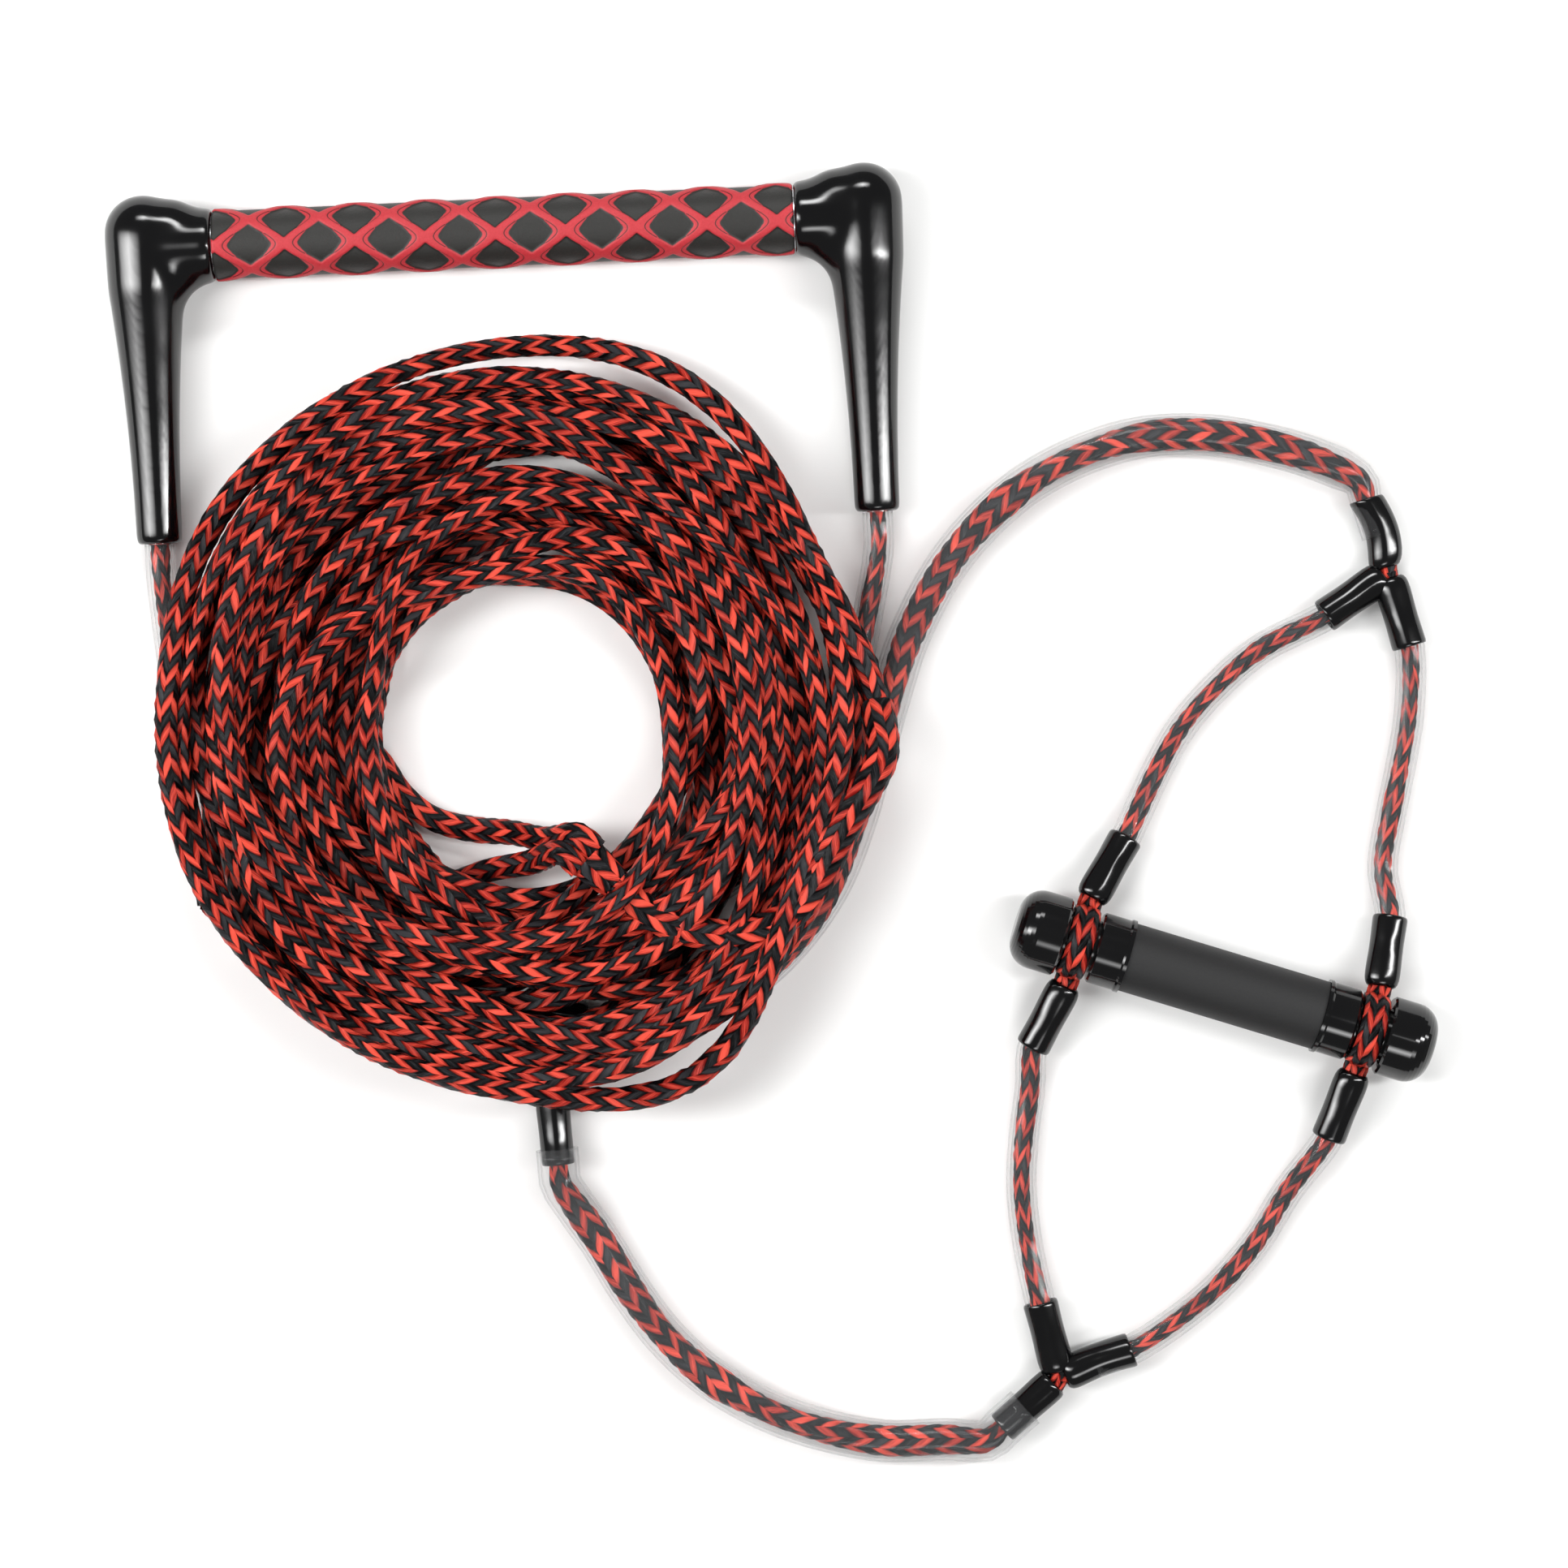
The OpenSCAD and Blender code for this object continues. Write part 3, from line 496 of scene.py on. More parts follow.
print("mid grey #808080 is", round(colour("#808080")[0], 3), "in linear light")

# %% [markdown]
# ## Polypropylene braid
# Fibrillated polypropylene yarn is stiff and shiny: each float catches the light along
# its crest and sinks into shadow beside its neighbours. Here both are painted into the
# colour: a painted highlight lightens each crest, and painted shade darkens each rim to
# near black. The colour comes from counting floats in the UV map: odd ones are red and
# even ones black. Fine lines run along the yarn, drawn about three times coarser than real
# fibres so that they still show; they mix each colour towards a lighter copy of it, so they
# are partly fibre tone and partly painted glints. A random tone per float adds to that mix.
# White paper all round would turn the black yarn grey, so little of it is mirrored.

# %% Material: braided polypropylene


def braid_material(name, red, red_painted_highlight, black, black_painted_glint, roughness):
    """Red and black floats by turns, each with a painted highlight on its crest and painted shade
    at its rim.
    """
    material, tree, skin = new_material(name)
    uv = add_node(tree, "ShaderNodeUVMap", {"uv_map": "braid"})
    parts = add_node(tree, "ShaderNodeSeparateXYZ", inputs={0: uv.outputs[0]})
    floats, columns = parts.outputs[0], parts.outputs[1]
    calc = lambda op, *values: add_node(
        tree, "ShaderNodeMath", {"operation": op}, dict(enumerate(values))
    ).outputs[0]
    is_red = calc("GREATER_THAN", calc("MODULO", floats, 2.0), 1.0)
    # Each float is a pointed leaf: 0 along its crest and 1 at its rim
    over = calc("ABSOLUTE", calc("MULTIPLY_ADD", calc("FRACT", floats), 2.0, -1.0))
    sideways = calc("ABSOLUTE", calc("MULTIPLY_ADD", calc("FRACT", columns), 2.0, -1.0))
    taper = calc("MULTIPLY_ADD", calc("POWER", sideways, 3.0), -0.3, 1.06)
    rim = calc("DIVIDE", over, taper)
    fibre_at = add_node(tree, "ShaderNodeCombineXYZ", inputs={
        0: calc("MULTIPLY", floats, 15.0), 1: calc("MULTIPLY", columns, 1.1),
    })
    fibres = add_node(tree, "ShaderNodeTexNoise", inputs={
        "Vector": fibre_at.outputs[0], "Scale": 1.0, "Detail": 2.0, "Roughness": 0.6,
    })
    patch_at = add_node(tree, "ShaderNodeCombineXYZ", inputs={
        0: calc("FLOOR", floats), 1: calc("FLOOR", columns),
    })
    patches = add_node(tree, "ShaderNodeTexWhiteNoise", {"noise_dimensions": "2D"}, {
        "Vector": patch_at.outputs[0],
    })
    # Painted highlight: the colour is lighter along each float's crest and darker towards its rim
    crest_painted_highlight = calc("MULTIPLY_ADD", rim, -0.6, 0.0)
    uneven = calc("MULTIPLY_ADD", calc("POWER", patches.outputs[0], 2.0), 0.9, -0.75)
    fibre_tone_and_painted_highlight = calc("ADD", calc("MULTIPLY_ADD", fibres.outputs[0], 2.4, crest_painted_highlight), uneven)
    # The light red and light grey are painted highlights and glints; the fibre lines, the random
    # tone and the painted crest highlight mix each colour towards them
    reds = add_node(tree, "ShaderNodeMix", {"data_type": "RGBA"}, {
        0: fibre_tone_and_painted_highlight, 6: colour(red), 7: colour(red_painted_highlight),
    })
    blacks = add_node(tree, "ShaderNodeMix", {"data_type": "RGBA"}, {
        0: calc("POWER", calc("MAXIMUM", fibre_tone_and_painted_highlight, 0.0), 2.0),
        6: colour(black), 7: colour(black_painted_glint),
    })
    both = add_node(tree, "ShaderNodeMix", {"data_type": "RGBA"}, {
        0: is_red, 6: blacks.outputs[2], 7: reds.outputs[2],
    })
    # Painted shade: each float darkens to near black at its rim, where it sinks beside its
    # neighbours
    rim_painted_shade = add_node(tree, "ShaderNodeMapRange", inputs={
        0: rim, 1: 0.66, 2: 1.06, 3: 1.0, 4: 0.02,
    })
    shaded = add_node(tree, "ShaderNodeMix", {"data_type": "RGBA", "blend_type": "MULTIPLY"}, {
        0: 1.0, 6: both.outputs[2], 7: rim_painted_shade.outputs[0],
    })
    tree.links.new(shaded.outputs[2], skin.inputs["Base Color"])
    round_top = calc("MINIMUM", calc("POWER", rim, 2.0), 1.2)
    height = calc("SUBTRACT", calc("MULTIPLY", fibres.outputs[0], 0.4), round_top)
    bump = add_node(tree, "ShaderNodeBump", inputs={
        "Height": height, "Distance": 0.5 * MM, "Strength": 1.0,
    })
    tree.links.new(bump.outputs[0], skin.inputs["Normal"])
    skin.inputs["Roughness"].default_value = roughness
    skin.inputs["IOR"].default_value = 1.49
    skin.inputs["Specular IOR Level"].default_value = 0.12
    return material


# The second and fourth colours are the painted highlight on red and the painted glint on black
polypropylene_braid = braid_material(
    "polypropylene_braid_red_and_black", "#7C130F", "#E4503F", "#020203", "#2E2E31", 0.28)
print("material:", polypropylene_braid.name)

# %% [markdown]
# ## Clear PVC hose
# Plasticised PVC is a thin, glossy, nearly colourless wall. A hose is modelled with both
# its walls, and the material lets light straight through except where the wall is seen
# edge on, which gives the pale grey borders of the photograph.

# %% Material: clear PVC
clear_pvc, tree, skin = new_material("clear_pvc_hose")
skin.inputs["Base Color"].default_value = colour("#A6A8AA")
skin.inputs["Roughness"].default_value = 0.08
skin.inputs["IOR"].default_value = 1.53
skin.inputs["Coat Weight"].default_value = 1.0
skin.inputs["Coat Roughness"].default_value = 0.03
skin.inputs["Coat IOR"].default_value = 1.7
edge_on = add_node(tree, "ShaderNodeLayerWeight", inputs={"Blend": 0.3})
wall = add_node(tree, "ShaderNodeMapRange", inputs={
    0: edge_on.outputs["Facing"], 1: 0.3, 2: 0.95, 3: 0.05, 4: 0.9,
})
tree.links.new(wall.outputs[0], skin.inputs["Alpha"])
print("material:", clear_pvc.name)

# %% [markdown]
# ## Black vinyl and plastic, and aluminium
# The boots are dip-moulded vinyl: perfectly smooth, deep black and glossy. The short
# handle's caps are injection-moulded and just as glossy. Such a skin is all reflection,
# so it has a low roughness and hardly any colour. The bar under the foam is drawn
# aluminium tube: a metal, with a roughness from the drawing.

# %% Material: gloss blacks and metal


def gloss_black(name, hex_value, roughness, ripple, ripple_size):
    """A moulded black with a faint ripple, so that its reflections waver."""
    material, tree, skin = new_material(name)
    at = add_node(tree, "ShaderNodeTexCoord")
    waves = add_node(tree, "ShaderNodeTexNoise", inputs={
        "Vector": at.outputs["Object"], "Scale": 1 / (ripple_size * MM), "Detail": 1.0,
    })
    tone = add_node(tree, "ShaderNodeMapRange", inputs={
        0: waves.outputs[0], 1: 0.3, 2: 0.7, 3: roughness * 0.8, 4: roughness * 1.3,
    })
    tree.links.new(tone.outputs[0], skin.inputs["Roughness"])
    bump = add_node(tree, "ShaderNodeBump", inputs={
        "Height": waves.outputs[0], "Distance": ripple * MM, "Strength": 1.0,
    })
    tree.links.new(bump.outputs[0], skin.inputs["Normal"])
    skin.inputs["Base Color"].default_value = colour(hex_value)
    skin.inputs["IOR"].default_value = 1.5
    return material


dipped_vinyl = gloss_black("dip_moulded_vinyl_black", "#060607", 0.12, 0.012, 14.0)
moulded_cap = gloss_black("injection_moulded_plastic_black", "#070708", 0.1, 0.01, 14.0)
nylon = gloss_black("moulded_nylon_black", "#1A1A1B", 0.4, 0.05, 2.0)
aluminium = gloss_black("drawn_aluminium_tube", "#C9CBCE", 0.3, 0.02, 1.0)
aluminium.node_tree.nodes["Principled BSDF"].inputs["Metallic"].default_value = 1.0
print("materials:", dipped_vinyl.name, moulded_cap.name, nylon.name, aluminium.name)

# %% [markdown]
# ## Matt rubber and hidden yarn
# The short grip is nitrile rubber from a matt mould: a very dark grey that scatters what
# it mirrors. A fine noise, under a millimetre, gives both its grain and its slight
# unevenness in tone. The same recipe, coarser and red, serves the rope that runs hidden
# through the wide handle.

# %% Material: matt rubber


def grained(name, hex_low, hex_high, grain_mm, roughness, depth):
    """A matt surface whose grain varies its tone and its height a little."""
    material, tree, skin = new_material(name)
    at = add_node(tree, "ShaderNodeTexCoord")
    grain = add_node(tree, "ShaderNodeTexNoise", inputs={
        "Vector": at.outputs["Object"], "Scale": 1 / (grain_mm * MM), "Detail": 3.0,
    })
    mix = add_node(tree, "ShaderNodeMix", {"data_type": "RGBA"}, {
        0: grain.outputs[0], 6: colour(hex_low), 7: colour(hex_high),
    })
    tree.links.new(mix.outputs[2], skin.inputs["Base Color"])
    bump = add_node(tree, "ShaderNodeBump", inputs={
        "Height": grain.outputs[0], "Distance": depth * MM, "Strength": 1.0,
    })
    tree.links.new(bump.outputs[0], skin.inputs["Normal"])
    skin.inputs["Roughness"].default_value = roughness
    return material


matt_rubber = grained("matt_nitrile_rubber", "#0C0C0D", "#161617", 0.9, 0.62, 0.05)
hidden_yarn = grained(
    "polypropylene_yarn_inside_the_handle", "#200A0A", "#A02A24", 2.5, 0.5, 0.3)
print("materials:", matt_rubber.name, hidden_yarn.name)

# %% [markdown]
# ## Hoses and the rope in them
# A hose is a tube with an outer and an inner wall. Both follow the route, and a ring of
# faces joins them at each end. A curve with a round bevel would be quicker, but it gives
# only one wall, and clear hose shows both. Each hose and rope then rides with the line,
# unless it belongs to the bridle, and the solid it stands for is hidden.

# %% Hose builder
HOSE_SIDES = 24


def clear_hose(name, route, radii, bore_radii, step=4.0):
    """A clear hose. Its radii are given in mm at shares of its length."""
    line = smooth_line(route, step)
    count = len(line)
    share = np.linspace(0, 1, count)
    _, across, up = frames_along(line)
    angle = 2 * np.pi * np.arange(HOSE_SIDES) / HOSE_SIDES
    rings = []
    for radius in (radii, bore_radii):
        r = np.interp(share, [m for m, _ in radius], [v for _, v in radius])
        rings.append(
            line[:, None, :]
            + across[:, None, :] * (r[:, None] * np.cos(angle))[..., None]
            + up[:, None, :] * (r[:, None] * np.sin(angle))[..., None]
        )
    points = from_bar(np.concatenate(rings).reshape(-1, 3))
    inner = count * HOSE_SIDES
    faces = []
    for i in range(count - 1):
        for j in range(HOSE_SIDES):
            k = (j + 1) % HOSE_SIDES
            a, b = i * HOSE_SIDES + j, i * HOSE_SIDES + k
            faces.append((a, b, b + HOSE_SIDES, a + HOSE_SIDES))
            faces.append(
                (inner + a, inner + a + HOSE_SIDES, inner + b + HOSE_SIDES, inner + b)
            )
    last = (count - 1) * HOSE_SIDES
    for j in range(HOSE_SIDES):
        k = (j + 1) % HOSE_SIDES
        faces.append((j, inner + j, inner + k, k))
        faces.append((last + j, last + k, inner + last + k, inner + last + j))
    obj = new_object(name, points, faces)
    dress(obj, clear_pvc)
    return obj, from_bar(line)


def rope_on(name, route, wide, high, roll=None, thin=None, first=0.0, step=3.0):
    """A braided rope along a route. thin gives the size near each end, and its length."""
    line = smooth_line(route, step)
    along = lengths_along(line)
    size = np.ones(len(line))
    if thin:
        share, reach = thin
        for from_end in (along, along[-1] - along):
            size = np.minimum(size, np.interp(from_end, [0, reach], [share, 1.0]))
    twist = np.zeros(len(line)) if roll is None else roll(along)
    obj = braided_rope(name, from_bar(line), wide * MM * size, high * MM * size, twist, first)
    dress(obj, polypropylene_braid)
    return obj, from_bar(line), along[-1] * MM


def declare(obj, node):
    """Hangs a hose or rope on the line, unless it belongs to the bridle, and hides its solid."""
    if "bridle" not in node:
        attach(obj, "line")
    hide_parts(node)


print("a hose has", HOSE_SIDES, "sides")

# %% [markdown]
# ## Bridle, lines and legs
# Two narrow hoses make the bridle, two wide ones hold the doubled line, and four narrow
# legs go to the short handle. Each has a rope inside that fills most of the bore. A wide
# hose narrows where it is pushed into a boot, and the rope thins towards its ends. The
# rope also rolls slowly on its way, as a laid-out rope does.

# %% Bridle, lines and legs
# Outer radius and bore in mm, at shares of a hose's length
NARROW = [(0, 5.9), (1, 5.9)]
NARROW_BORE = [(0, 4.5), (1, 4.5)]
WIDE_UPPER = [(0, 5.9), (0.03, 5.9), (0.09, 8.2), (0.93, 8.2), (0.965, 6.4), (1, 5.9)]
WIDE_UPPER_BORE = [(0, 4.7), (0.03, 4.7), (0.09, 7.0), (0.93, 7.0), (0.965, 5.2), (1, 4.7)]
WIDE_LOWER = [(0, 8.2), (1, 8.2)]
WIDE_LOWER_BORE = [(0, 7.0), (1, 7.0)]
# Name, route, outer radius, bore, half the rope's width and height, and how its ends thin
STRETCHES = [
    ("left_bridle", LEFT_BRIDLE, NARROW, NARROW_BORE, 3.9, 3.2, None),
    ("right_bridle", RIGHT_BRIDLE, NARROW, NARROW_BORE, 3.9, 3.2, None),
    ("upper_line", UPPER_LINE, WIDE_UPPER, WIDE_UPPER_BORE, 6.4, 4.8, (0.62, 30.0)),
    ("upper_left_leg", UPPER_LEFT_LEG, NARROW, NARROW_BORE, 3.9, 3.2, None),
    ("upper_right_leg", UPPER_RIGHT_LEG, NARROW, NARROW_BORE, 3.9, 3.2, None),
    ("lower_left_leg", LOWER_LEFT_LEG, NARROW, NARROW_BORE, 3.9, 3.2, None),
    ("lower_right_leg", LOWER_RIGHT_LEG, NARROW, NARROW_BORE, 3.9, 3.2, None),
    ("lower_line", LOWER_LINE, WIDE_LOWER, WIDE_LOWER_BORE, 6.4, 4.8, (0.62, 24.0)),
]
# Which boots sit on each hose
ON_EACH = {
    "upper_line": ["bridle_fork_line_boot", "upper_fork_line_boot"],
    "left_bridle": ["bridle_fork_left_boot"],
    "right_bridle": ["bridle_fork_right_boot"],
    "upper_left_leg": ["upper_fork_left_boot", "upper_left_loop_boot"],
    "upper_right_leg": ["upper_fork_right_boot", "upper_right_loop_boot"],
    "lower_left_leg": ["lower_fork_left_boot", "lower_left_loop_boot"],
    "lower_right_leg": ["lower_fork_right_boot", "lower_right_loop_boot"],
    "lower_line": ["lower_fork_line_boot", "coil_boot"],
}


def roll_in_hose(k):
    """How the rope in hose number k rolls along its way, in radians."""
    return lambda s: 1.1 * np.sin(s / 31 + 1.7 * k) + 0.5 * np.sin(s / 13 + k)


hoses, ropes = {}, {}
for k, (stem, route, radii, bores, wide, high, thin) in enumerate(STRETCHES):
    hoses[stem] = clear_hose(stem + "_clear_hose", route, radii, bores)
    rope_route = route if stem != "lower_line" else route[1:-1]
    ropes[stem] = rope_on(
        stem + "_braid", rope_route, wide, high, roll=roll_in_hose(k), thin=thin, first=k)
print(len(hoses), "stretches of hose with rope inside")

# %% [markdown]
# ## The bare rope
# The coil is one unbroken braid. A hollow braid lies half flat, so it rolls from its wide
# side to its narrow one as it goes, and its columns wind round it: without that, the
# chevrons would stand in one line all the way. The lead and the end of the line start
# where the coil's first and last points are.

# %% The bare rope
coil_s = lengths_along(coil_line)
roll_coil = (
    0.55 * np.sin(coil_s / 93) + 0.45 * np.sin(coil_s / 37 + 1) + 0.3 * np.sin(coil_s / 411)
)
twist_coil = (
    1.3 * np.sin(coil_s / 71) + 0.7 * np.sin(coil_s / 23 + 1) + 0.9 * np.sin(coil_s / 157)
)
coil_rope = braided_rope(
    "rope_coil_braid", from_bar(coil_line), ROPE_WIDE * MM, ROPE_HIGH * MM, roll_coil,
    rings_per_float=2, twist=twist_coil)
dress(coil_rope, polypropylene_braid)
lead_rope, lead_line, lead_length = rope_on(
    "line_lead_braid", LEAD[:-2] + [tuple(coil_line[0])], 4.6, 3.5)
end_rope, end_line, end_length = rope_on(
    "line_end_braid", [tuple(coil_line[-1])] + LINE_END[2:], 6.6, 5.0,
    roll=lambda s: 0.3 * np.sin(s / 25))
eye_rope, eye_line, eye_length = rope_on(
    "boat_eye_braid", EYE, 5.2, 3.6, roll=lambda s: 0.5 * np.sin(s / 22))

# %% [markdown]
# ## Fork splices
# Where the rope divides, its strands are buried in each other, and between the boots a
# little of the bare rope shows. A fork is one strand that runs through and a second one
# that branches off at its middle, joined into one piece.

# %% Fork splices
FORKS = {
    "bridle": ((2.2, -299, 6.9), (-12, -296, 6.9), (-26.5, -295.5, 6.9), (-0.9, -286.7, 6.9)),
    "upper": ((328.5, -130.9, 6.9), (332, -145, 6.9), (319.7, -152.7, 6.9), (335.5, -159.1, 6.9)),
    "lower": ((169.1, -465.6, 8.4), (192, -447, 8.4), (189, -432.8, 8.4), (205.8, -442.5, 8.4)),
}


def join(name, objects):
    """Makes one object of several."""
    bpy.ops.object.select_all(action="DESELECT")
    for obj in objects:
        obj.select_set(True)
    bpy.context.view_layer.objects.active = objects[0]
    bpy.ops.object.join()
    objects[0].name = name
    return objects[0]


splices = {}
for fork, (line_end, centre, left_end, right_end) in FORKS.items():
    through = rope_on(fork + "_through", [line_end, centre, left_end], 4.0, 3.6)[0]
    branch = rope_on(fork + "_branch", [centre, right_end], 4.0, 3.6)[0]
    splices[fork] = join(fork + "_fork_braid", [through, branch])
    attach(splices[fork], "line")
    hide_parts(fork + "_fork_splice")
print(len(splices), "forks")

# %% [markdown]
# ## The eye splice
# The eye at the boat end is closed by tucking the rope back into itself. The braid swells
# over what is inside it, so this short piece grows wider towards the eye.

# %% Eye splice
splice_line = smooth_line([(32, -250, 41.9), (27, -245, 41.9), (22.1, -240.1, 41.9)], 2.0)
swelling = np.linspace(0, 1, len(splice_line))
eye_splice = braided_rope("eye_splice_braid", from_bar(splice_line),
                          (6.6 + 1.8 * swelling) * MM, (5.0 - 0.6 * swelling) * MM)
dress(eye_splice, polypropylene_braid)
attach(eye_splice, "line")
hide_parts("eye_splice")

# %% [markdown]
# ## Turned pieces
# Boots are round, so each is a profile turned about an axis, as on a lathe. The profile
# is drawn about Z at the origin, spun in edit mode, and its points are then carried to
# the boot's own place, so that the object itself stays unturned at the origin.

# %% Lathe


def turned(name, profile, steps=48):
    """A profile of (radius, height) points in millimetres turned about the Z axis."""
    mesh = bpy.data.meshes.new(name)
    mesh.from_pydata([(r * MM, 0, z * MM) for r, z in profile],
                     [(i, i + 1) for i in range(len(profile) - 1)], [])
    obj = bpy.data.objects.new(name, mesh)
    bpy.context.scene.collection.objects.link(obj)
    bpy.ops.object.select_all(action="DESELECT")
    obj.select_set(True)
    bpy.context.view_layer.objects.active = obj
    bpy.ops.object.mode_set(mode="EDIT")
    bpy.ops.mesh.select_all(action="SELECT")
    bpy.ops.mesh.spin(steps=steps, angle=2 * math.pi, center=(0, 0, 0), axis=(0, 0, 1))
    bpy.ops.mesh.select_all(action="SELECT")
    bpy.ops.mesh.remove_doubles(threshold=1e-6)
    bpy.ops.mesh.normals_make_consistent(inside=False)
    bpy.ops.object.mode_set(mode="OBJECT")
    bpy.ops.object.shade_smooth()
    return obj


def move_points(obj, change):
    """Puts every point of a mesh through a function of its place, in millimetres."""
    count = len(obj.data.vertices)
    places = np.empty(count * 3, np.float32)
    obj.data.vertices.foreach_get("co", places)
    moved = change(places.reshape(-1, 3).astype(float) / MM) * MM
    obj.data.vertices.foreach_set("co", moved.astype(np.float32).ravel())
    obj.data.update()


def stand_along(points, start, direction):
    """Turns points drawn about Z so that Z runs along a direction from a start."""
    ahead = np.asarray(direction, float) / np.linalg.norm(direction)
    across = np.cross([0, 0, 1], ahead)
    across /= np.linalg.norm(across)
    up = np.cross(ahead, across)
    placed = (
        np.asarray(start, float)
        + points[:, :1] * across + points[:, 1:2] * up + points[:, 2:] * ahead
    )
    return from_bar(placed) / MM


one_up = np.array([[0, 0, 1.0]])
print("Z turned to X, from the bar:", stand_along(one_up, (0, 0, 0), (1, 0, 0)).round(1))

# %% [markdown]
# ## The boots on the rope
# Fourteen dipped boots cover the ends of the hoses. One shape goes over a hose and one
# fits into a wide one. The near end is pressed a little flat where it grips the bare
# rope, each has its own faint dent, and a stiff hose bends the boot that it leaves.

# %% Boots on the rope
BOOT_LENGTH = 26.5
HOSE_BOOT = [
    (3.6, -0.6), (4.5, -1.0), (5.3, -0.4), (5.9, 0.7), (6.25, 2.2), (6.4, 4.5), (6.42, 8),
    (6.42, 12), (6.48, 16), (6.6, 20), (6.7, 24), (6.72, 25.4), (6.62, 26.1), (6.4, 26.5),
    (6.05, 26.3), (5.95, 25.6), (5.95, 13), (3.6, 11), (3.6, -0.6),
]
PLUG_BOOT = [
    (4.4, 0.6), (5.0, 0.0), (5.7, 0.5), (6.1, 1.6), (6.2, 5), (6.2, 10), (6.25, 14), (6.35, 18),
    (6.38, 25.4), (6.2, 26.3), (5.8, 26.5), (4.6, 26.4), (4.4, 25.8), (4.4, 0.6),
]
# Where each boot starts, which way its mouth lies, and its shape
BOOTS = {
    "bridle_fork_line_boot": ((-9.1, -296.6, 6.9), (16.9, -302.1, 6.9), HOSE_BOOT),
    "bridle_fork_left_boot": ((-15, -295.9, 6.9), (-41.5, -295, 6.9), HOSE_BOOT),
    "bridle_fork_right_boot": ((-9.7, -294.1, 6.9), (10.6, -277, 6.9), HOSE_BOOT),
    "upper_fork_line_boot": ((331.3, -142.1, 6.9), (324.9, -116.4, 6.9), HOSE_BOOT),
    "upper_fork_left_boot": ((329.5, -146.6, 6.9), (307, -160.6, 6.9), HOSE_BOOT),
    "upper_fork_right_boot": ((332.7, -147.9, 6.9), (339.1, -173.6, 6.9), HOSE_BOOT),
    "lower_fork_line_boot": ((189.7, -448.9, 8.4), (169.1, -465.6, 8.4), PLUG_BOOT),
    "lower_fork_left_boot": ((191.4, -444.1, 8.4), (185.9, -418.1, 8.4), HOSE_BOOT),
    "lower_fork_right_boot": ((194.9, -446.1, 8.4), (220.1, -437.9, 8.4), HOSE_BOOT),
    "coil_boot": ((2.6, -330.5, 8.4), (4, -357, 8.4), PLUG_BOOT),
    "upper_left_loop_boot": ((212.6, -263.9, 12.9), (226.8, -242, 8.3), HOSE_BOOT),
    "upper_right_loop_boot": ((321.4, -302.4, 12.9), (326.8, -276.9, 8.3), HOSE_BOOT),
    "lower_left_loop_boot": ((200.6, -297.6, 12.9), (187.6, -320.2, 8.3), HOSE_BOOT),
    "lower_right_loop_boot": ((309.4, -336.1, 12.9), (299.2, -360.2, 8.3), HOSE_BOOT),
}
# The boots that their hose pulls sideways: how far the middle is bent, in mm
BENT = {"upper_fork_line_boot": -2.4, "bridle_fork_line_boot": 0.8, "lower_fork_right_boot": 0.8}
# How much wider and flatter the near end is, and how deep the dent
PRESSED_WIDE, PRESSED_FLAT, DENT = 0.06, -0.12, 0.12


def finer(profile, most=1.2):
    """Adds points to the long straight parts of a profile."""
    out = [profile[0]]
    for a, b in zip(profile, profile[1:]):
        parts = max(1, math.ceil(math.dist(a, b) / most))
        out += [
            (a[0] + (b[0] - a[0]) * i / parts, a[1] + (b[1] - a[1]) * i / parts)
            for i in range(1, parts + 1)
        ]
    return out


rope_boots = {}
for k, (name, (near, mouth, profile)) in enumerate(BOOTS.items()):
    boot = turned(name + "_dipped", finer(profile))
    near, mouth = np.array(near, float), np.array(mouth, float)

    def press(p, k=k, bend=BENT.get(name, 0.0)):
        """Presses, dents and bends a boot, and puts it in its place."""
        share = 0.5 - 0.5 * np.cos(np.pi * np.clip(1.15 - p[:, 2] / 17, 0, 1))
        flat = 1 + np.column_stack([PRESSED_WIDE * share, PRESSED_FLAT * share])
        dent = DENT * np.exp(-((p[:, 2] - 11 - k % 4) / 5) ** 2) * np.clip(p[:, 1] / 6, 0, 1) ** 2
        out = p.copy()
        out[:, :2] = p[:, :2] * flat
        out[:, 0] += bend * np.sin(np.pi * np.clip(p[:, 2] / BOOT_LENGTH, 0, 1))
        out[:, 1] -= dent
        return stand_along(out, near, mouth - near)

    move_points(boot, press)
    dress(boot, dipped_vinyl)
    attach(boot, "line")
    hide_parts(name)
    rope_boots[name] = boot
print(len(rope_boots), "boots on the rope")

# %% [markdown]
# ## The rope loops
# The short handle turns in two loops of rope. Each lies pressed flat in a groove round a
# cap, and its two tails, the necks, go into the boots of two legs. The flat ring keeps its
# wide side along the handle's axis, so its directions are given and not worked out.

# %% Rope loops round the short handle
SHORT_MIDDLE, SHORT_HEIGHT = np.array([261.0, -300.0]), 15.3
SHORT_TURN = math.radians(-19.5)
SHORT_AXIS = np.array([math.cos(SHORT_TURN), math.sin(SHORT_TURN), 0])
SHORT_SIDE = np.array([-math.sin(SHORT_TURN), math.cos(SHORT_TURN), 0])
LOOP_AT, LOOP_RADIUS = 57.7, 12.75
# Where a neck leaves the ring: beside the handle's axis, and below it
NECK_SIDE, NECK_DOWN = 12.2, 2.4


